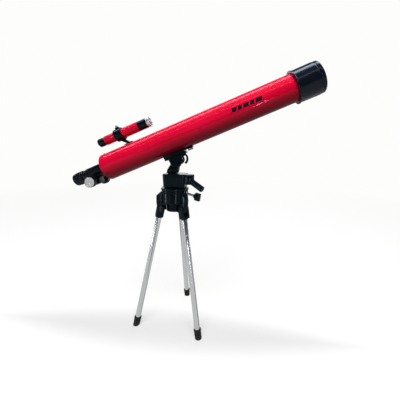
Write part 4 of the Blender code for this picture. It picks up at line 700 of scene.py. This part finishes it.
def make_neck():
    foot, rear, front, radius = PAN_TOP + 0.0003 - tilt_at.z, -0.0255, 0.0005, 0.007
    height = -foot
    outline = [
        (rear, foot), (front, foot), (front + 0.22 * (radius - front), -0.55 * height),
        *arc(0, 0, radius, -20, 150, 24), (rear * 0.51, -0.21 * height), (rear * 0.72, -0.44 * height),
        (rear * 0.94, -0.74 * height),
    ]
    neck = prism("neck", fillet(outline, 0.006, 5), -0.007, 0.007, LEVEL, 0.0012, 3)
    carve(neck, drill(LEVEL @ ALONG_Y, 0.0033, -0.02, 0.02))
    stands_for(neck, "tilt_neck", HEAD)


# ---------------------------------------------------------------- tilt platform
PLATE_TOP, PLATE = 0.0115, 0.004


def make_platform():
    low, high = (-0.0275, -0.0125, PLATE_TOP - PLATE), (0.025, 0.0125, PLATE_TOP)
    plate = block("plate", low, high, TILT, 0.005, 0.0007, None, 6, 3)
    under = PLATE_TOP - PLATE / 2
    cheek = [(-0.012, under), *arc(0, 0, 0.012, 180, 360, 36), (0.012, under)]
    sides = [prism("cheek", cheek, y, y + 0.0052, TILT, 0.0008, 3) for y in (-0.0125, 0.0073)]
    join(plate, *sides)
    bolt = drill(TILT @ ALONG_Y, 0.0033, -0.025, 0.025)
    screw = drill(TILT @ at(0.0172), 0.0033, -0.01, 0.02)
    carve(plate, bolt, screw)
    stands_for(plate, "tilt_platform", HEAD)


def make_tilt_lock():
    start, disc = 0.0128, 0.0158
    end = disc + 0.007
    near = end - 0.0022
    bolt = lathe("bolt", rod(0.003, -near, start + 0.0021), TILT @ ALONG_Y, 40, round_to=0.0003)
    head = lathe("head", rod(0.0058, start, 0.017), TILT @ ALONG_Y, 6, round_to=0.0005, smooth=20)
    stands_for(join(bolt, head), "tilt_bolt", STEEL)
    outline = [
        (0, near + 0.0003), (0.0033, near + 0.0003), (0.0033, start), (0.009, start), (0.009, disc),
        (0.015, disc), (0.016, disc + 0.001), *side_points(disc + 0.0012, end - 0.0022, 0.016, 6),
        *arc(0.0142, end - 0.0018, 0.0018, 0, 90, 5),
        *raised(end, (0.0118, 0), (0.0112, -0.001), (0.007, -0.001), (0.0066, -0.0004),
                (0.004, -0.0004), (0.0036, -0.001), (0, -0.001)),
    ]

    def wave(angle, radius, height):
        """Six shallow lobes, as a hand grips them."""
        if radius < 0.013:
            return radius
        return radius - 0.0017 * (0.5 + 0.5 * cos(6 * angle)) ** 2 * (radius - 0.013) / 0.003

    place = TILT @ ALONG_MINUS_Y
    turned("tilt_lock_knob", LEVER, "lock_disc", outline, place, 192, round_to=0, wave=wave)


def smooth_path(points, steps):
    ends = [points[0], *points, points[-1]]
    path = []
    for p0, p1, p2, p3 in zip(ends, ends[1:], ends[2:], ends[3:]):
        p0, p1, p2, p3 = (Vector(p) for p in (p0, p1, p2, p3))
        for step in range(steps):
            t = step / steps
            square, cube = (2 * p0 - 5 * p1 + 4 * p2 - p3) * t**2, (3 * p1 - p0 - 3 * p2 + p3) * t**3
            path.append(0.5 * (2 * p1 + (p2 - p0) * t + square + cube))
    return [*path, Vector(points[-1])]


def bow(name, path, radius_at, place, segments=24):
    """A round bar along a path in the XZ plane, with a rounded far end."""
    bm = bmesh.new()
    rings = []
    for number, centre in enumerate(path):
        tangent = (path[min(number + 1, len(path) - 1)] - path[max(number - 1, 0)]).normalized()
        side = Vector((0, 1, 0))
        up = side.cross(tangent).normalized()
        radius = radius_at(number / (len(path) - 1))
        ring = []
        for step in range(segments):
            angle = 2 * pi * step / segments
            ring.append(bm.verts.new(centre + radius * (cos(angle) * side + sin(angle) * up)))
        rings.append(ring)
    for low, high in zip(rings, rings[1:]):
        for step in range(segments):
            after = (step + 1) % segments
            bm.faces.new([low[step], low[after], high[after], high[step]])
    bm.faces.new(rings[0])
    bm.faces.new(rings[-1])
    return as_object(name, bm, place, 50)


def make_platform_screw():
    place = on_joint("platform_clamp_turn")
    place = Matrix.Translation(place.translation) @ Matrix.Rotation(-altitude, 4, "Y")
    hub = lathe("lever_hub", rod(0.0042, -0.0045, 0), place, 64, round_to=0.0007)
    points = [
        (0.0005, 0, -0.002), (0.0032, 0, -0.0044), (0.0036, 0, -0.009), (0.002, 0, -0.0138),
        (-0.0012, 0, -0.018), (-0.0062, 0, -0.0206),
    ]

    def radius_at(part):
        full = 0.0021 * (1 + 0.25 * part)
        left = 1 - part
        return full * min(1.0, sqrt(max(0.05, 1 - max(0.0, 1 - left / 0.06) ** 2)))

    join(hub, bow("bow", smooth_path(points, 8), radius_at, place))
    carve(hub, drill(place, 0.0033, -0.00255, 0.01))
    stands_for(hub, "platform_screw_lever", LEVER)


def saddle_outline(half, top, bottom):
    angle = degrees(asin(half / top))
    return [*arc(0, 0, top, -90 - angle, -90 + angle, 20), (half, bottom), (-half, bottom)]


def make_saddle():
    bottom = PLATE_TOP + 0.0003 - AXIS_RISE
    lengthways = TUBE @ turn(-90, "Z")
    saddle = prism("saddle", saddle_outline(0.013, 0.0303, bottom), -0.0265, 0.023, lengthways, 0.0007, 3)
    strap = prism("strap", saddle_outline(0.007, 0.0303, -0.0323), -0.013, 0.0425, lengthways, 0.0004, 2)
    join(saddle, strap)
    bore = drill(TUBE @ at(0.0172), 0.0033, -0.06, 0)
    hole = drill(TUBE @ at(0.035), 0.0023, -0.036, -0.015, 32)
    carve(saddle, bore, hole)
    stands_for(saddle, "tube_saddle_block", HEAD)
    head = -0.0326
    low = head - 0.0048
    outline = [
        *raised(low, (0, 0), (0.003, 0), (0.0034, 0.0003), (0.0054, 0.0003), (0.006, 0.0009)),
        *side_points(low + 0.001, head - 0.0007, 0.006, 5), (0.0055, head), (0.002, head),
        (0.002, -0.0273), (0, -0.0273),
    ]
    wave = ribs(30, 0.00035, low + 0.0006, head - 0.0004, 0.0058)
    screw = lathe("thumbscrew", outline, TUBE @ at(0.035), 180, round_to=0, wave=wave, smooth=60)
    stands_for(screw, "saddle_thumbscrew", SPUN)


# ---------------------------------------------------------------- telescope tube
TUBE_REAR = -0.1611
HOOD_REAR = TUBE_REAR + 0.446
HOOD_FRONT = HOOD_REAR + 0.048
TUBE_FRONT = HOOD_REAR + 0.012


def make_main_tube():
    rim = arc(0.0286, TUBE_REAR + 0.0014, 0.0014, -90, 0, 6)
    outline = [(0.0288, TUBE_REAR + 0.0012), *rim[1:]]
    for step in range(1, 41):
        outline.append((0.03, TUBE_REAR + 0.0014 + (TUBE_FRONT - TUBE_REAR - 0.0014) * step / 40))
    outline.append((0.0288, TUBE_FRONT))
    main = lathe("long_tube", outline, TUBE_AXIS, 192, round_to=0)
    stands_for(main, "main_tube", RED)
    blacken_inside(main)


def make_print():
    """A row of plain slanted bars on the near side of the tube."""
    bm = bmesh.new()
    radius = 0.03004

    def patch(start, end, low, high, lean):
        across, along = 6, 4
        rows = []
        for i in range(along + 1):
            row = []
            for j in range(across + 1):
                angle = radians(low + (high - low) * j / across)
                x = start + (end - start) * i / along + lean * (angle - radians(low))
                row.append(bm.verts.new((x, -radius * cos(angle), radius * sin(angle))))
            rows.append(row)
        for row, after in zip(rows, rows[1:]):
            for j in range(across):
                bm.faces.new([row[j], after[j], after[j + 1], row[j + 1]])

    edge = 0.1475
    for width in (0.01, 0.0085, 0.012, 0.0085, 0.014):
        patch(edge, edge + width, -3.5, 13.0, 0.01)
        edge += width + 0.003
    mesh = bpy.data.meshes.new("plain_bars")
    bm.to_mesh(mesh)
    bm.free()
    mesh.shade_smooth()
    bars = bpy.data.objects.new("plain_bars", mesh)
    link(bars)
    bars.matrix_world = TUBE
    thick = bars.modifiers.new("thick", "SOLIDIFY")
    thick.thickness = 0.00006
    thick.offset = 1.0
    bpy.context.view_layer.update()
    settle(bars)
    added(bars, "main_tube", PRINT)


def make_hood():
    cell_front = TUBE_FRONT + 0.0026
    outline = [
        *raised(HOOD_REAR, (0.0303, 0), (0.0352, 0), (0.0356, 0.0004), (0.0356, 0.0024), (0.035, 0.003),
                (0.0342, 0.0032)),
        *raised(HOOD_FRONT, (0.0343, -0.0036), (0.0343, -0.0024), (0.0337, -0.0018), (0.033, -0.0014),
                (0.033, 0), (0.0327, 0)),
        (0.0327, cell_front + 0.001), (0.0303, cell_front),
    ]
    turned("dew_hood", HOOD, "hood", outline, TUBE_AXIS, 192, round_to=0.0005)


def make_dust_cap():
    plug, band, end = 0.0324, 0.0336, 0.0003 + 0.0078
    outline = [
        (0, 0.0003), (plug - 0.0015, 0.0003), (plug - 0.0015, -0.0057), (plug, -0.0057), (plug, 0.0003),
        (plug + 0.0002, 0.0014), (band - 0.0005, 0.0014), (band, 0.0019), (band, 0.004),
        *arc(band - 0.0022, end - 0.0022, 0.0022, 0, 90, 8),
        *raised(end, (0.029, 0), (0.0284, -0.0005), (0.0272, -0.0005), (0.0265, 0), (0.0258, -0.0011),
                (0.012, -0.0012), (0.0112, -0.0006), (0, -0.0006)),
    ]
    place = TUBE @ at(HOOD_FRONT) @ ALONG_X
    turned("dust_cap", HOOD, "cap", outline, place, 192, round_to=0.0003)


def screw_head(place, base, head=0.0021, height=0.0012, shank=0.0012, length=0.0057):
    outline = [
        (0, base - length), (shank, base - length), (shank, base), (head, base), (head, base + height * 0.35),
        (head * 0.72, base + height * 0.85), (0, base + height),
    ]
    screw = lathe("screw", outline, place, 40, round_to=0.0002)
    low, high = (-head * 1.5, -0.0002, base + height * 0.5), (head * 1.5, 0.0002, base + height * 2)
    return carve(screw, block("slit", low, high, place, 0, 0))


def aimed(origin, direction):
    return Matrix.Translation(origin) @ Vector(direction).to_track_quat("Z", "Y").to_matrix().to_4x4()


# ---------------------------------------------------------------- focuser
SLEEVE_REAR = TUBE_REAR - 0.049
DRAW_REAR = SLEEVE_REAR - 0.0085
PINION_X = TUBE_REAR - 0.0346
PINION_Z = -0.012 - 0.0022 - 0.0008 - 0.0042


def make_focuser():
    rear = TUBE_REAR + 0.001
    front = rear + 0.01
    outline = [
        (0.0124, front),
        *raised(SLEEVE_REAR, (0.0124, 0), (0.0139, 0), (0.0145, 0.0006), (0.0145, 0.005), (0.0141, 0.0054),
                (0.0141, 0.0062), (0.0145, 0.0066)),
        *raised(rear, (0.015, -0.004), (0.0185, 0), (0.0238, 0), (0.0242, 0.0006), (0.025, 0.0006),
                (0.0254, 0), (0.0285, 0)),
        (0.0285, front),
    ]
    housing = lathe("housing", outline, TUBE_AXIS, 160, round_to=0.0005)
    low_z = PINION_Z - 0.0068
    low, high = (PINION_X - 0.0095, -0.011, low_z), (PINION_X + 0.0095, 0.011, -0.0062)
    join(housing, block("pinion_block", low, high, TUBE, 0.002, 0.0008, None, 5, 3))
    bore = drill(TUBE_AXIS, 0.0124, SLEEVE_REAR - 0.01, front + 0.01, 96)
    slot = block("slot", (SLEEVE_REAR - 0.01, -0.0033, -0.0164), (front + 0.01, 0.0033, -0.0062), TUBE, 0, 0)
    pocket = block(
        "pocket", (PINION_X - 0.0058, -0.0036, low_z - 0.01), (PINION_X + 0.0058, 0.0036, -0.0142), TUBE, 0, 0
    )
    shaft = drill(TUBE @ at(PINION_X, 0, PINION_Z) @ ALONG_Y, 0.0022, -0.022, 0.022, 32)
    screws = [
        TUBE @ aimed((TUBE_REAR + 0.0055, 0, 0), (0, -cos(angle), sin(angle)))
        for angle in map(radians, (-32, 90, 212))
    ]
    holes = [drill(place, 0.0015, 0.0228, 0.036, 20) for place in screws]
    carve(housing, bore, slot, pocket, shaft, *holes)
    stands_for(housing, "focuser_housing", FOCUSER)
    for number, place in enumerate(screws, 1):
        stands_for(screw_head(place, 0.0303), f"housing_screw_{number}", DARK_STEEL)
    cover_top = low_z - 0.0003
    cover = block(
        "cover", (PINION_X - 0.0085, -0.01, cover_top - 0.0016), (PINION_X + 0.0085, 0.01, cover_top), TUBE,
        0.0015, 0.0003, None, 4, 2,
    )
    stands_for(cover, "pinion_cover", DARK_STEEL)


def make_drawtube():
    outline = [
        (0.011, 0), (0.0131, 0), (0.0131, 0.0044), (0.012, 0.005), (0.012, 0.092), (0.011, 0.092),
    ]
    turned("drawtube", BLACKED, "draw", raised(DRAW_REAR, *outline), TUBE_AXIS, 128, round_to=0.0003)


def make_knobs():
    start, end, radius = 0.0175, 0.0315, 0.012
    for side, way in (("near", ALONG_MINUS_Y), ("far", ALONG_Y)):
        place = TUBE @ at(PINION_X, 0, PINION_Z) @ way
        seat = end - 0.001
        outline = [
            *raised(start, (0, 0.009), (0.0022, 0.009), (0.0022, 0), (radius * 0.62, 0),
                    (radius * 0.66, 0.0035), (radius - 0.0006, 0.004), (radius, 0.0047)),
            *side_points(start + 0.0048, end - 0.001, radius, 8), (radius - 0.0002, end - 0.0002),
            (0.0117, end), (0.0115, end), (0.0115, seat), (0, seat),
        ]
        wave = ribs(32, 0.0006, start + 0.0043, end - 0.0005, radius - 0.0004)
        knob = lathe(f"knob_{side}", outline, place, 256, round_to=0, wave=wave, smooth=50)
        stands_for(knob, f"focus_knob_{side}", FOCUSER)
        face = end + 0.0003
        disc = [
            (0, seat + 0.0003), (0.0112, seat + 0.0003),
            *raised(face, (0.0112, -0.0003), (0.0109, 0), (0.0036, 0), (0.0033, -0.0003), (0, -0.0004)),
        ]
        turned(f"focus_knob_face_{side}", SPUN, f"knob_disc_{side}", disc, place, 128, round_to=0.0001)


def make_eyepiece():
    seat = DRAW_REAR - 0.0003
    place = TUBE @ at(seat) @ ALONG_X
    rear, cup = -0.0245, -0.0185
    lens = cup + 0.0024 + 0.0006
    inside = 0.0107 - 0.0008
    radius = 0.0148
    outline = [
        (inside, 0), (inside, lens + 0.002), (0.008, lens + 0.002), (0.008, cup), (0.0112, rear),
        *arc(0.0126, rear + 0.0016, 0.0016, -90, -20, 5), (0.0144, rear + 0.0052), (0.0141, rear + 0.006),
        (radius, rear + 0.0074), (radius, rear + 0.0084), *side_points(rear + 0.0088, -0.006, radius, 8),
        (radius, -0.0052), (radius - 0.0006, -0.0048), (radius - 0.0006, -0.004), (radius, -0.0036),
        (radius, -0.0014), (radius - 0.0014, 0),
    ]
    wave = ribs(36, 0.0006, rear + 0.0086, -0.0058, radius - 0.0002)
    shell = lathe("eyepiece", outline, place, 288, round_to=0.0002, wave=wave, smooth=50)
    stands_for(shell, "eyepiece_shell", EYEPIECE)
    middle = cup + 0.0003 + 0.0012
    turned("eye_lens", GLASS, "eye", lens_outline(0.0077, middle, 0.0024), place, 64, round_to=0)
    side = TUBE @ at(DRAW_REAR + 0.0025) @ ALONG_Y
    screw = [
        (0, 0.011), (0.0012, 0.011), (0.0012, 0.0161), (0.0034, 0.0161),
        *side_points(0.0164, 0.0207, 0.0034, 5), (0.0031, 0.021), (0, 0.021),
    ]
    wave = ribs(20, 0.0003, 0.0163, 0.0208, 0.0033)
    turned("eyepiece_screw", CHROME, "thumb", screw, side, 120, round_to=0, wave=wave, smooth=60)


def lens_outline(radius, middle, thickness, steps=8):
    rim, face = thickness / 6, thickness / 2
    shares = [step / steps for step in range(steps + 1)]
    back = [(radius * share, middle - face + (face - rim) * share**2) for share in shares]
    front = [(radius * share, middle + face - (face - rim) * share**2) for share in reversed(shares)]
    return [*back, *front]


# ---------------------------------------------------------------- finder
CLAMP_REAR, CLAMP_FRONT = -0.112, -0.093
CLAMP_X = (CLAMP_REAR + CLAMP_FRONT) / 2
STEM_FOOT = CLAMP_X + 0.013


def make_bracket():
    inner, outer = 0.0115, 0.0141
    outline = [(inner, CLAMP_REAR), (outer, CLAMP_REAR), (outer, CLAMP_FRONT), (inner, CLAMP_FRONT)]
    ring = lathe("ring", outline, FINDER_AXIS, 128, round_to=0.0012)
    top, bottom = FINDER_RISE - inner - 0.0013, 0.0303 + 0.0008
    stem = [
        (CLAMP_X - 0.004, top), (STEM_FOOT - 0.004, bottom),
        (STEM_FOOT + 0.004, bottom), (CLAMP_X + 0.0064, top),
    ]
    stem = prism("stem", stem, -0.004, 0.004, TUBE, 0.0008, 3)
    angle = degrees(asin(0.006 / 0.0303))
    base = [*arc(0, 0, 0.0303, 90 + angle, 90 - angle, 10), *arc(0, 0, 0.0319, 90 - angle, 90 + angle, 10)]
    base = prism("base", base, STEM_FOOT - 0.01, STEM_FOOT + 0.01, TUBE @ turn(-90, "Z"), 0.0004, 2)
    low = (CLAMP_X - 0.0045, -0.004, FINDER_RISE + inner + 0.0008)
    high = (CLAMP_X + 0.0045, 0.004, FINDER_RISE + outer + 0.0034)
    boss = block("boss", low, high, TUBE, 0.0012, 0.0006, None, 4, 3)
    join(ring, stem, base, boss)
    bore = drill(FINDER @ at(CLAMP_X), 0.0015, inner * 0.9, outer + 0.01, 24)
    foot = TUBE @ at(STEM_FOOT + 0.0055)
    hole = drill(foot, 0.0015, 0.027, 0.036, 24)
    carve(ring, bore, hole)
    stands_for(ring, "finder_bracket", FOCUSER)
    base_top = 0.0303 + 0.0016 + 0.0003
    stands_for(screw_head(foot, base_top, length=0.0046), "bracket_screw", STEEL)
    level = outer + 0.0034 + 0.0003
    outline = [
        (0, 0.0115), (0.0012, 0.0115), (0.0012, level), (0.003, level),
        *side_points(level + 0.0003, level + 0.0027, 0.003, 4), (0.0024, level + 0.004), (0, level + 0.004),
    ]
    wave = ribs(18, 0.0003, level + 0.0001, level + 0.0028, 0.0029)
    screw = lathe("clamp_screw", outline, FINDER @ at(CLAMP_X), 108, round_to=0, wave=wave, smooth=60)
    stands_for(screw, "finder_clamp_screw", STEEL)


def make_finder():
    outline = [
        (0.0094, -0.139), (0.0098, -0.139), (0.0104, -0.1384), (0.0104, -0.1135), (0.0112, -0.1127),
        (0.0112, -0.054), (0.0094, -0.054),
    ]
    small_tube = lathe("small_tube", outline, FINDER_AXIS, 128, round_to=0.0003)
    stands_for(small_tube, "finder_tube", RED)
    blacken_inside(small_tube)
    place = FINDER @ at(-0.1172) @ ALONG_MINUS_Y
    dot = [
        (0, 0.0097), (0.0012, 0.0097), (0.0012, 0.0107), (0.0019, 0.0107), (0.0019, 0.0114),
        (0.0011, 0.0119), (0, 0.0119),
    ]
    turned("finder_stop_screw", CHROME, "dot", dot, place, 40, round_to=0.0002)
    start = -0.0537
    end = start + 0.021
    seat = end - 0.005
    outline = [
        *raised(start, (0.011, 0), (0.011, 0.004), (0.0107, 0.0044), (0.0107, 0.0052), (0.011, 0.0056)),
        (0.011, end), (0.0099, end), (0.0099, seat), (0.0086, seat), (0.0086, start),
    ]
    turned("finder_cell", EYEPIECE, "small_cell", outline, FINDER_AXIS, 128, round_to=0.0003)
    lens = lens_outline(0.0096, seat + 0.0003 + 0.0013, 0.0026)
    turned("finder_lens", GLASS, "small_lens", lens, FINDER_AXIS, 96, round_to=0)
    start, tip = end + 0.0003, end + 0.0073
    outline = [
        *raised(start, (0.0092, 0), (0.011, 0), (0.011, 0.0024)),
        *raised(tip, (0.0119, -0.0018), (0.0119, -0.0004), (0.0115, 0), (0.0103, 0)),
    ]
    turned("finder_front_ring", SATIN, "small_ring", outline, FINDER_AXIS, 128, round_to=0.0002)
    place = FINDER @ at(-0.139) @ ALONG_X
    shown, rear = -0.0004, -0.0169
    outline = [
        (0.005, 0.012), (0.005, rear + 0.004), (0.0066, rear),
        *arc(0.0066, rear + 0.003, 0.003, -90, 0, 8),
        *raised(rear, (0.0096, 0.006), (0.0093, 0.0063), (0.0093, 0.0068), (0.0096, 0.0071)),
        (0.0096, shown - 0.004), (0.008, shown), (0.0091, shown), (0.0091, 0.012),
    ]
    turned("finder_eyepiece", EYEPIECE, "small_eyepiece", outline, place, 128, round_to=0.0002)


def paint_the_rest():
    """The CAD nodes that stay: hidden or small ones, each with its finished material."""
    paints = {
        "objective_cell": EYEPIECE, "objective_retainer": EYEPIECE, "objective_flint": GLASS,
        "objective_crown": GLASS, "focus_rack": BRASS, "pinion_shaft": STEEL, "pan_pivot_bolt": STEEL,
        "platform_screw": STEEL, "pan_handle_stud": STEEL, "eyepiece_barrel": CHROME,
    }
    for node, paint in paints.items():
        obj = frame["nodes"][node]
        if obj.material_slots:
            for place in obj.material_slots:
                place.material = paint
        else:
            obj.data.materials.append(paint)


# ---------------------------------------------------------------- floor, backdrop and light
BACKDROP = (0.985, 0.985, 0.975)


def hide_from(obj, *rays):
    for ray in rays:
        setattr(obj, f"visible_{ray}", False)


def glowing(name, colour, strength=1.0):
    paint = bpy.data.materials.new(name)
    paint.use_nodes = True
    tree = paint.node_tree
    tree.nodes.clear()
    glow = tree.nodes.new("ShaderNodeEmission")
    preset(glow, Color=(*colour, 1), Strength=strength)
    out = tree.nodes.new("ShaderNodeOutputMaterial")
    tree.links.new(glow.outputs["Emission"], out.inputs["Surface"])
    return paint


def card(name, size, place, strength, colour=(1, 1, 1), bright=False):
    """A plain glowing card that only shows in reflections; a bright one is also sampled as a light."""
    bm = bmesh.new()
    bmesh.ops.create_grid(bm, x_segments=1, y_segments=1, size=0.5)
    bmesh.ops.scale(bm, vec=(size[0], size[1], 1), verts=bm.verts)
    obj = as_object(name, bm, place)
    paint = glowing(name, colour, strength)
    paint.cycles.emission_sampling = "AUTO" if bright else "NONE"
    obj.data.materials.append(paint)
    hide_from(obj, "camera", "diffuse", "transmission", "shadow")


def looking_at(origin, target):
    return aimed(origin, Vector(origin) - Vector(target))


def make_stage():
    bm = bmesh.new()
    bmesh.ops.create_circle(bm, cap_ends=True, segments=128, radius=9.0)
    floor = as_object("floor", bm, at(pan_x, pan_y, 0))
    if floor.data.polygons[0].normal.z < 0:
        floor.data.flip_normals()
    paint = Paint("pale_floor")
    # The emission is lowered in a soft band around the tripod's feet: a painted shadow on the floor.
    apart = paint.node("ShaderNodeSeparateXYZ")
    paint.link(paint.place, apart.inputs["Vector"])
    across = paint.maths("MULTIPLY", paint.maths("POWER", apart.outputs["X"], 2), 0.35)
    along = paint.maths("ABSOLUTE", paint.maths("ADD", apart.outputs["Y"], 0.04), 0)
    near = paint.maths("ADD", along, across)
    painted_shadow_dip = paint.spread(near, 0.56, 0.8, 0.0, 0.1, interpolation_type="SMOOTHERSTEP")
    paint.link(painted_shadow_dip, paint.shader.inputs["Emission Strength"])
    distance = paint.node("ShaderNodeVectorMath", operation="LENGTH")
    paint.link(paint.place, distance.inputs[0])
    fade = paint.spread(distance.outputs["Value"], 0.0, 1.0, 0.9, 2.2)
    tree = paint.tree
    far = tree.nodes.new("ShaderNodeEmission")
    preset(far, Color=(*BACKDROP, 1))
    mixed = tree.nodes.new("ShaderNodeMixShader")
    tree.links.new(fade, mixed.inputs["Fac"])
    tree.links.new(paint.shader.outputs["BSDF"], mixed.inputs[1])
    tree.links.new(far.outputs["Emission"], mixed.inputs[2])
    tree.links.new(mixed.outputs["Shader"], tree.nodes["Material Output"].inputs["Surface"])
    paint.finish(
        Base_Color=(0.3, 0.3, 0.3, 1), Roughness=0.9, Specular_IOR_Level=0.0,
        Emission_Color=(1, 1, 0.99, 1),
    )
    floor.data.materials.append(paint.made)
    hide_from(floor, "diffuse", "glossy")

    bm = bmesh.new()
    bmesh.ops.create_uvsphere(bm, u_segments=64, v_segments=32, radius=9.0)
    dome = as_object("backdrop", bm, at(pan_x, pan_y, 0))
    dome.data.materials.append(glowing("pale_backdrop", BACKDROP))
    hide_from(dome, "diffuse", "glossy", "shadow", "transmission")

    world = bpy.data.worlds.new("room")
    world.use_nodes = True
    preset(world.node_tree.nodes["Background"], Color=(0.72, 0.88, 1.0, 1), Strength=0.06)
    bpy.context.scene.world = world

    def softbox(name, origin, target, size, power):
        data = bpy.data.lights.new(name, "AREA")
        data.shape = "RECTANGLE"
        data.size, data.size_y = size
        data.energy = power
        light = bpy.data.objects.new(name, data)
        light.matrix_world = looking_at(origin, target)
        hide_from(light, "glossy", "camera")
        link(light)

    centre = Vector((pan_x, pan_y, 0.42))
    softbox("overhead", centre + Vector((0.1, -0.9, 1.7)), centre, (1.6, 1.2), 46)
    softbox("front_fill", centre + Vector((-0.5, -2.2, 0.5)), centre, (1.4, 1.0), 10)
    softbox("back_fill", centre + Vector((0.4, 2.2, 0.7)), centre, (1.6, 1.0), 9)
    card("top_strip", (4.0, 0.42), at(pan_x, pan_y + 0.16, 1.75), 9.0, (0.74, 0.8, 1.0), True)
    place = looking_at((pan_x, pan_y - 1.15, 1.7), centre)
    card("front_strip", (4.0, 0.07), place, 6.0, (0.82, 0.85, 1.0), True)
    card("back_card", (5.0, 2.2), looking_at(centre + Vector((0, 3.0, 1.15)), centre), 1.6)
    card("low_card", (5.2, 4.4), at(pan_x, pan_y - 0.1, -0.02), 0.62)
    for number, (offset, size, strength) in enumerate((
        ((-1.7, -0.7, 0.1), (0.75, 0.9), 0.5), ((1.7, -0.9, 0.1), (0.75, 0.9), 0.5),
        ((-1.3, 1.3, 0.1), (0.75, 0.9), 0.5), ((1.5, 1.0, 0.1), (0.8, 0.9), 0.5),
        ((-1.35, -2.0, -0.3), (0.9, 0.5), 0.9),
        ((-1.55, -0.62, -0.45), (0.14, 0.5), 18.0), ((0.66, -1.64, -0.45), (0.14, 0.5), 18.0),
        ((1.66, 0.6, -0.45), (0.16, 0.5), 12.0),
    )):
        origin = centre + Vector(offset)
        place = looking_at(origin, (centre.x, centre.y, origin.z))
        card(f"side_card_{number}", size, place, strength, bright=strength > 5)


# ---------------------------------------------------------------- everything
make_shoulder()
for leg_number in (1, 2, 3):
    make_leg(leg_number)
make_pan_lock()
make_pan_body()
make_handle()
make_neck()
make_platform()
make_tilt_lock()
make_platform_screw()
make_saddle()
make_main_tube()
make_print()
make_hood()
make_dust_cap()
make_focuser()
make_drawtube()
make_knobs()
make_eyepiece()
make_bracket()
make_finder()
paint_the_rest()
make_stage()
bpy.context.scene.view_settings.view_transform = "Standard"

bpy.context.view_layer.update()
